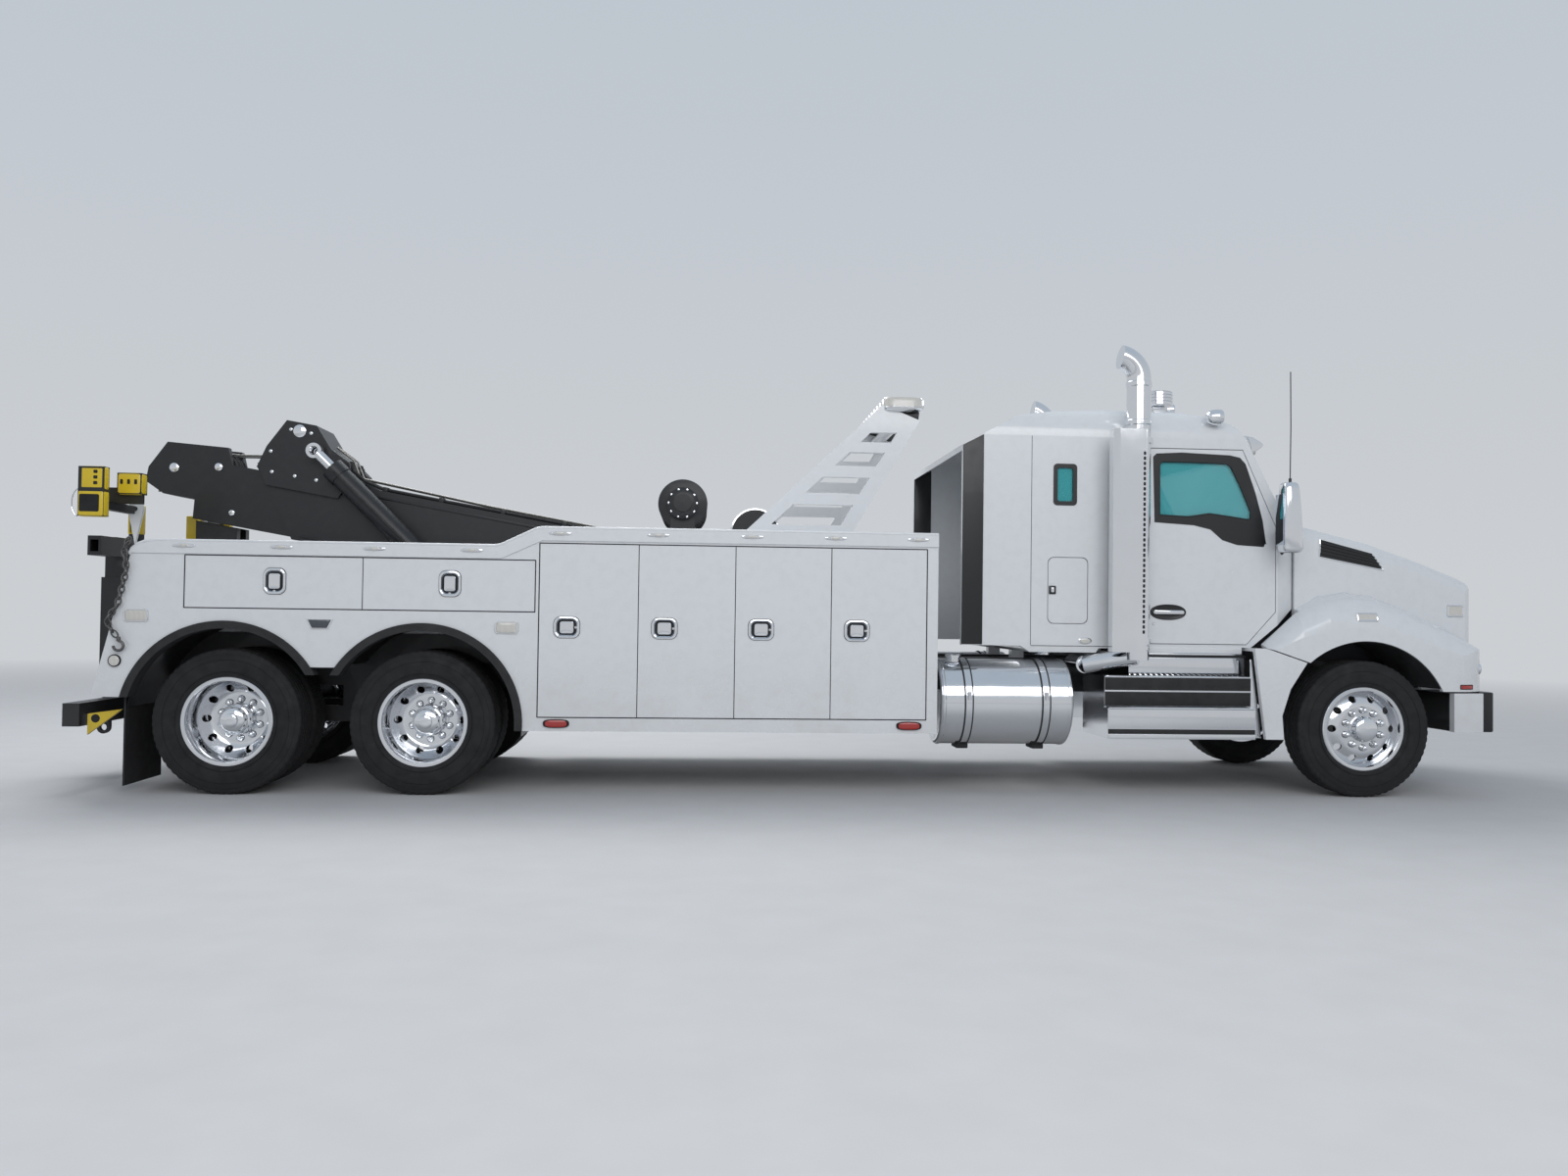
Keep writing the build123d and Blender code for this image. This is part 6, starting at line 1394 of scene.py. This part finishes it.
build = Build()
for side in BOTH:
    y = side * chain_y
    places = [Vector(place) for place in at_y(chain_path, y)]
    number = 0
    left_over = 0.0
    for first, second in zip(places, places[1:]):
        length = (second - first).length
        along = (second - first).normalized()
        reach = left_over
        while reach < length:
            across = Vector((0, 1, 0)) if number % 2 else along.cross(Vector((0, 1, 0)))
            add_link(build, first + along * reach, along, across)
            number += 1
            reach += link_pitch
        left_over = reach - length
    hook_top = Vector((station(9.112), y, 1.100))
    build.tube([hook_top + Vector((0.034 * sin(radians(turn)), 0, -0.045 + 0.034 * cos(radians(turn))))
                for turn in range(0, 271, 18)], 0.010, 8, 1)
    build.box((hook_top.x - 0.012, y - 0.010, 1.086), (hook_top.x + 0.012, y + 0.010, 1.118), 0.004, 1)
    # The chain's bracket is a little wider on the left
    build.slab((9.085, 9.040), two(side, 1.268, 1.312 if side > 0 else 1.300), (1.776, 1.800), 0.004, 1)
    # Snatch block: two pointed cheeks with a sheave between them
    for start in (0.574, 0.596):
        build.plate(cheek, two(side, start, start + 0.007), 0.002)
    build.lathe(((0.010, 0.0), (0.050, 0.0), (0.044, 0.007), (0.050, 0.014), (0.010, 0.014)),
                (block_x, side * 0.5885 - 0.007, block_z), 28, mark=1)
    build.disc(0.018, two(side, 0.562, 0.609), (block_x, 0.0, block_z), 24, mark=2)
build.finish("rear_rigging", [white_paint, chain_steel, chrome], "chassis")

# Cab: cushioned seats, and gauges on the dashboard

seat_y, seat_half = 0.560, 0.255
seat_back = placed(((1.450, 1.660), (1.575, 2.320), (1.690, 2.330), (1.570, 1.610)))
build = Build()
for side in BOTH:
    middle = side * seat_y
    low, high = middle - seat_half, middle + seat_half
    build.slab((1.455, 0.962), (low, high), (1.562, 1.715), 0.050)
    for y in (low + 0.005, high - 0.085):
        build.slab((1.440, 0.980), (y, y + 0.080), (1.640, 1.745), 0.032)
    build.plate(seat_back, (low, high), 0.042)
    build.slab((1.690, 1.590), (middle - 0.130, middle + 0.130), (2.340, 2.500), 0.040)
    for y in (-0.070, 0.070):
        build.tube(at_y(((1.635, 2.290), (1.640, 2.360)), middle + y), 0.008, 10, 1)
    build.slab((1.400, 1.020), (middle - 0.180, middle + 0.180), (1.340, 1.575), 0.030, 1)
made = build.finish("seats_dressed", [seat_cloth, interior], "chassis")
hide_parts("seats")

gauge_z = 1.880
build = Build()
for y, radius in ((0.360, 0.040), (0.470, 0.055), (0.640, 0.055), (0.750, 0.040), (0.180, 0.030), (0.090, 0.030)):
    face = (station(0.786), y, gauge_z)
    build.lathe(((radius, 0.006), (radius, -0.010), (radius - 0.006, -0.012), (radius - 0.008, -0.006)), face, 28,
                "X")
    build.lathe(((radius - 0.007, -0.007), (0.0, -0.007)), face, 28, "X", 1, closed=False)
    build.box((face[0] - 0.0085, y - 0.0015, gauge_z), (face[0] - 0.0070, y + 0.0015, gauge_z + radius - 0.012),
              mark=2)
build.finish("gauges", [chrome, dark_gap, lamp_red], "chassis")

# Camera, as the photograph has it

camera_data = bpy.data.cameras.new("camera")
camera_data.sensor_width = 36.0
camera_data.lens = 27.72
camera_data.clip_end = 200.0
camera = bpy.data.objects.new("camera", camera_data)
scene.collection.objects.link(camera)
camera_yaw, camera_pitch, camera_roll = 0.0700, 0.0211, 0.0133
camera_place = (station(5.0667), -10.0563, 1.3424)
forward = Vector((sin(camera_yaw) * cos(camera_pitch), cos(camera_yaw) * cos(camera_pitch), sin(camera_pitch)))
level = Vector((cos(camera_yaw), -sin(camera_yaw), 0))
upward = level.cross(forward)
right = level * cos(camera_roll) + upward * sin(camera_roll)
upward = upward * cos(camera_roll) - level * sin(camera_roll)
camera.matrix_world = Matrix([(right[row], upward[row], -forward[row], camera_place[row]) for row in range(3)]
                             + [(0, 0, 0, 1)])
scene.camera = camera

# Floor, background and lamps

backdrop_near, backdrop_high = (0.60, 0.62, 0.645), (0.46, 0.53, 0.61)
floor_half = 60.0
floor_data = bpy.data.meshes.new("floor")
floor_data.from_pydata([(-floor_half, -floor_half, 0), (floor_half, -floor_half, 0), (floor_half, floor_half, 0),
                        (-floor_half, floor_half, 0)], [], [(0, 1, 2, 3)])
floor = bpy.data.objects.new("floor", floor_data)
scene.collection.objects.link(floor)
floor_made, floor_tree, floor_shader = material("floor")
link(floor_tree, ramp(floor_tree, noise(floor_tree, 3.0, 8.0), ((0.2, 0.57), (0.8, 0.61))),
     floor_shader.inputs["Base Color"])
floor_shader.inputs["Roughness"].default_value = 0.85
floor_data.materials.append(floor_made)


def seen_rays(tree):
    """One for rays from the camera, from gloss and through glass, and nought for the rest."""
    paths = tree.nodes.new("ShaderNodeLightPath")
    seen = maths(tree, "MAXIMUM", paths.outputs["Is Camera Ray"], paths.outputs["Is Glossy Ray"])
    return maths(tree, "MAXIMUM", seen, paths.outputs["Is Transmission Ray"])


def mixed_surface(tree, factor, first, second, output_name):
    """Two shaders mixed by a value and sent to the tree's output."""
    node = tree.nodes.new("ShaderNodeMixShader")
    for number, source in enumerate((factor, first, second)):
        link(tree, source, node.inputs[number])
    link(tree, node.outputs["Shader"], tree.nodes[output_name].inputs["Surface"])


# Far from the truck the floor passes into the backdrop's colour
offset = floor_tree.nodes.new("ShaderNodeVectorMath")
offset.operation = "SUBTRACT"
offset.inputs[1].default_value = (station(5.0), 0.0, 0.0)
link(floor_tree, object_point(floor_tree), offset.inputs[0])
away_from = floor_tree.nodes.new("ShaderNodeVectorMath")
away_from.operation = "LENGTH"
link(floor_tree, offset.outputs["Vector"], away_from.inputs[0])
far_share = remap(floor_tree, away_from.outputs["Value"], 8.0, 26.0, 0.0, 1.0)
far_share = maths(floor_tree, "MULTIPLY", far_share, seen_rays(floor_tree))
far_colour = floor_tree.nodes.new("ShaderNodeEmission")
far_colour.inputs["Color"].default_value = (*backdrop_near, 1)
mixed_surface(floor_tree, far_share, floor_shader.outputs["BSDF"], far_colour.outputs["Emission"],
              "Material Output")

world = bpy.data.worlds.new("world")
scene.world = world
world.use_nodes = True
world_tree = world.node_tree
light_from = world_tree.nodes["Background"]
sky_point = world_tree.nodes.new("ShaderNodeTexCoord").outputs["Generated"]
sky_split = world_tree.nodes.new("ShaderNodeSeparateXYZ")
link(world_tree, sky_point, sky_split.inputs["Vector"])
sky = ramp(world_tree, remap(world_tree, sky_split.outputs["Z"], -0.3, 1.0, 0.0, 1.0),
           ((0.0, (0.42, 0.42, 0.43)), (0.22, (0.60, 0.60, 0.61)), (0.26, (0.90, 0.91, 0.93)),
            (1.0, (0.62, 0.72, 0.86))))
link(world_tree, sky, light_from.inputs["Color"])
light_from.inputs["Strength"].default_value = 0.60
seen_backdrop = world_tree.nodes.new("ShaderNodeBackground")
link(world_tree, ramp(world_tree, sky_split.outputs["Z"], ((0.02, backdrop_near), (0.75, backdrop_high))),
     seen_backdrop.inputs["Color"])
mixed_surface(world_tree, seen_rays(world_tree), light_from.outputs["Background"],
              seen_backdrop.outputs["Background"], "World Output")


def area_lamp(name, place, aim, size, power):
    """A rectangular lamp at a place, turned to what it lights."""
    data = bpy.data.lights.new(name, "AREA")
    data.shape = "RECTANGLE"
    data.size, data.size_y = size
    data.energy = power
    lamp = bpy.data.objects.new(name, data)
    scene.collection.objects.link(lamp)
    lamp.location = place
    lamp.rotation_euler = (Vector(aim) - Vector(place)).to_track_quat("-Z", "Y").to_euler()


area_lamp("key", (-4.0, 5.0, 11.0), (0.0, 0.0, 1.0), (8.0, 6.0), 900)
area_lamp("fill", (1.0, -12.0, 7.0), (0.0, 0.0, 1.2), (12.0, 5.0), 520)

scene.view_settings.view_transform = "Standard"
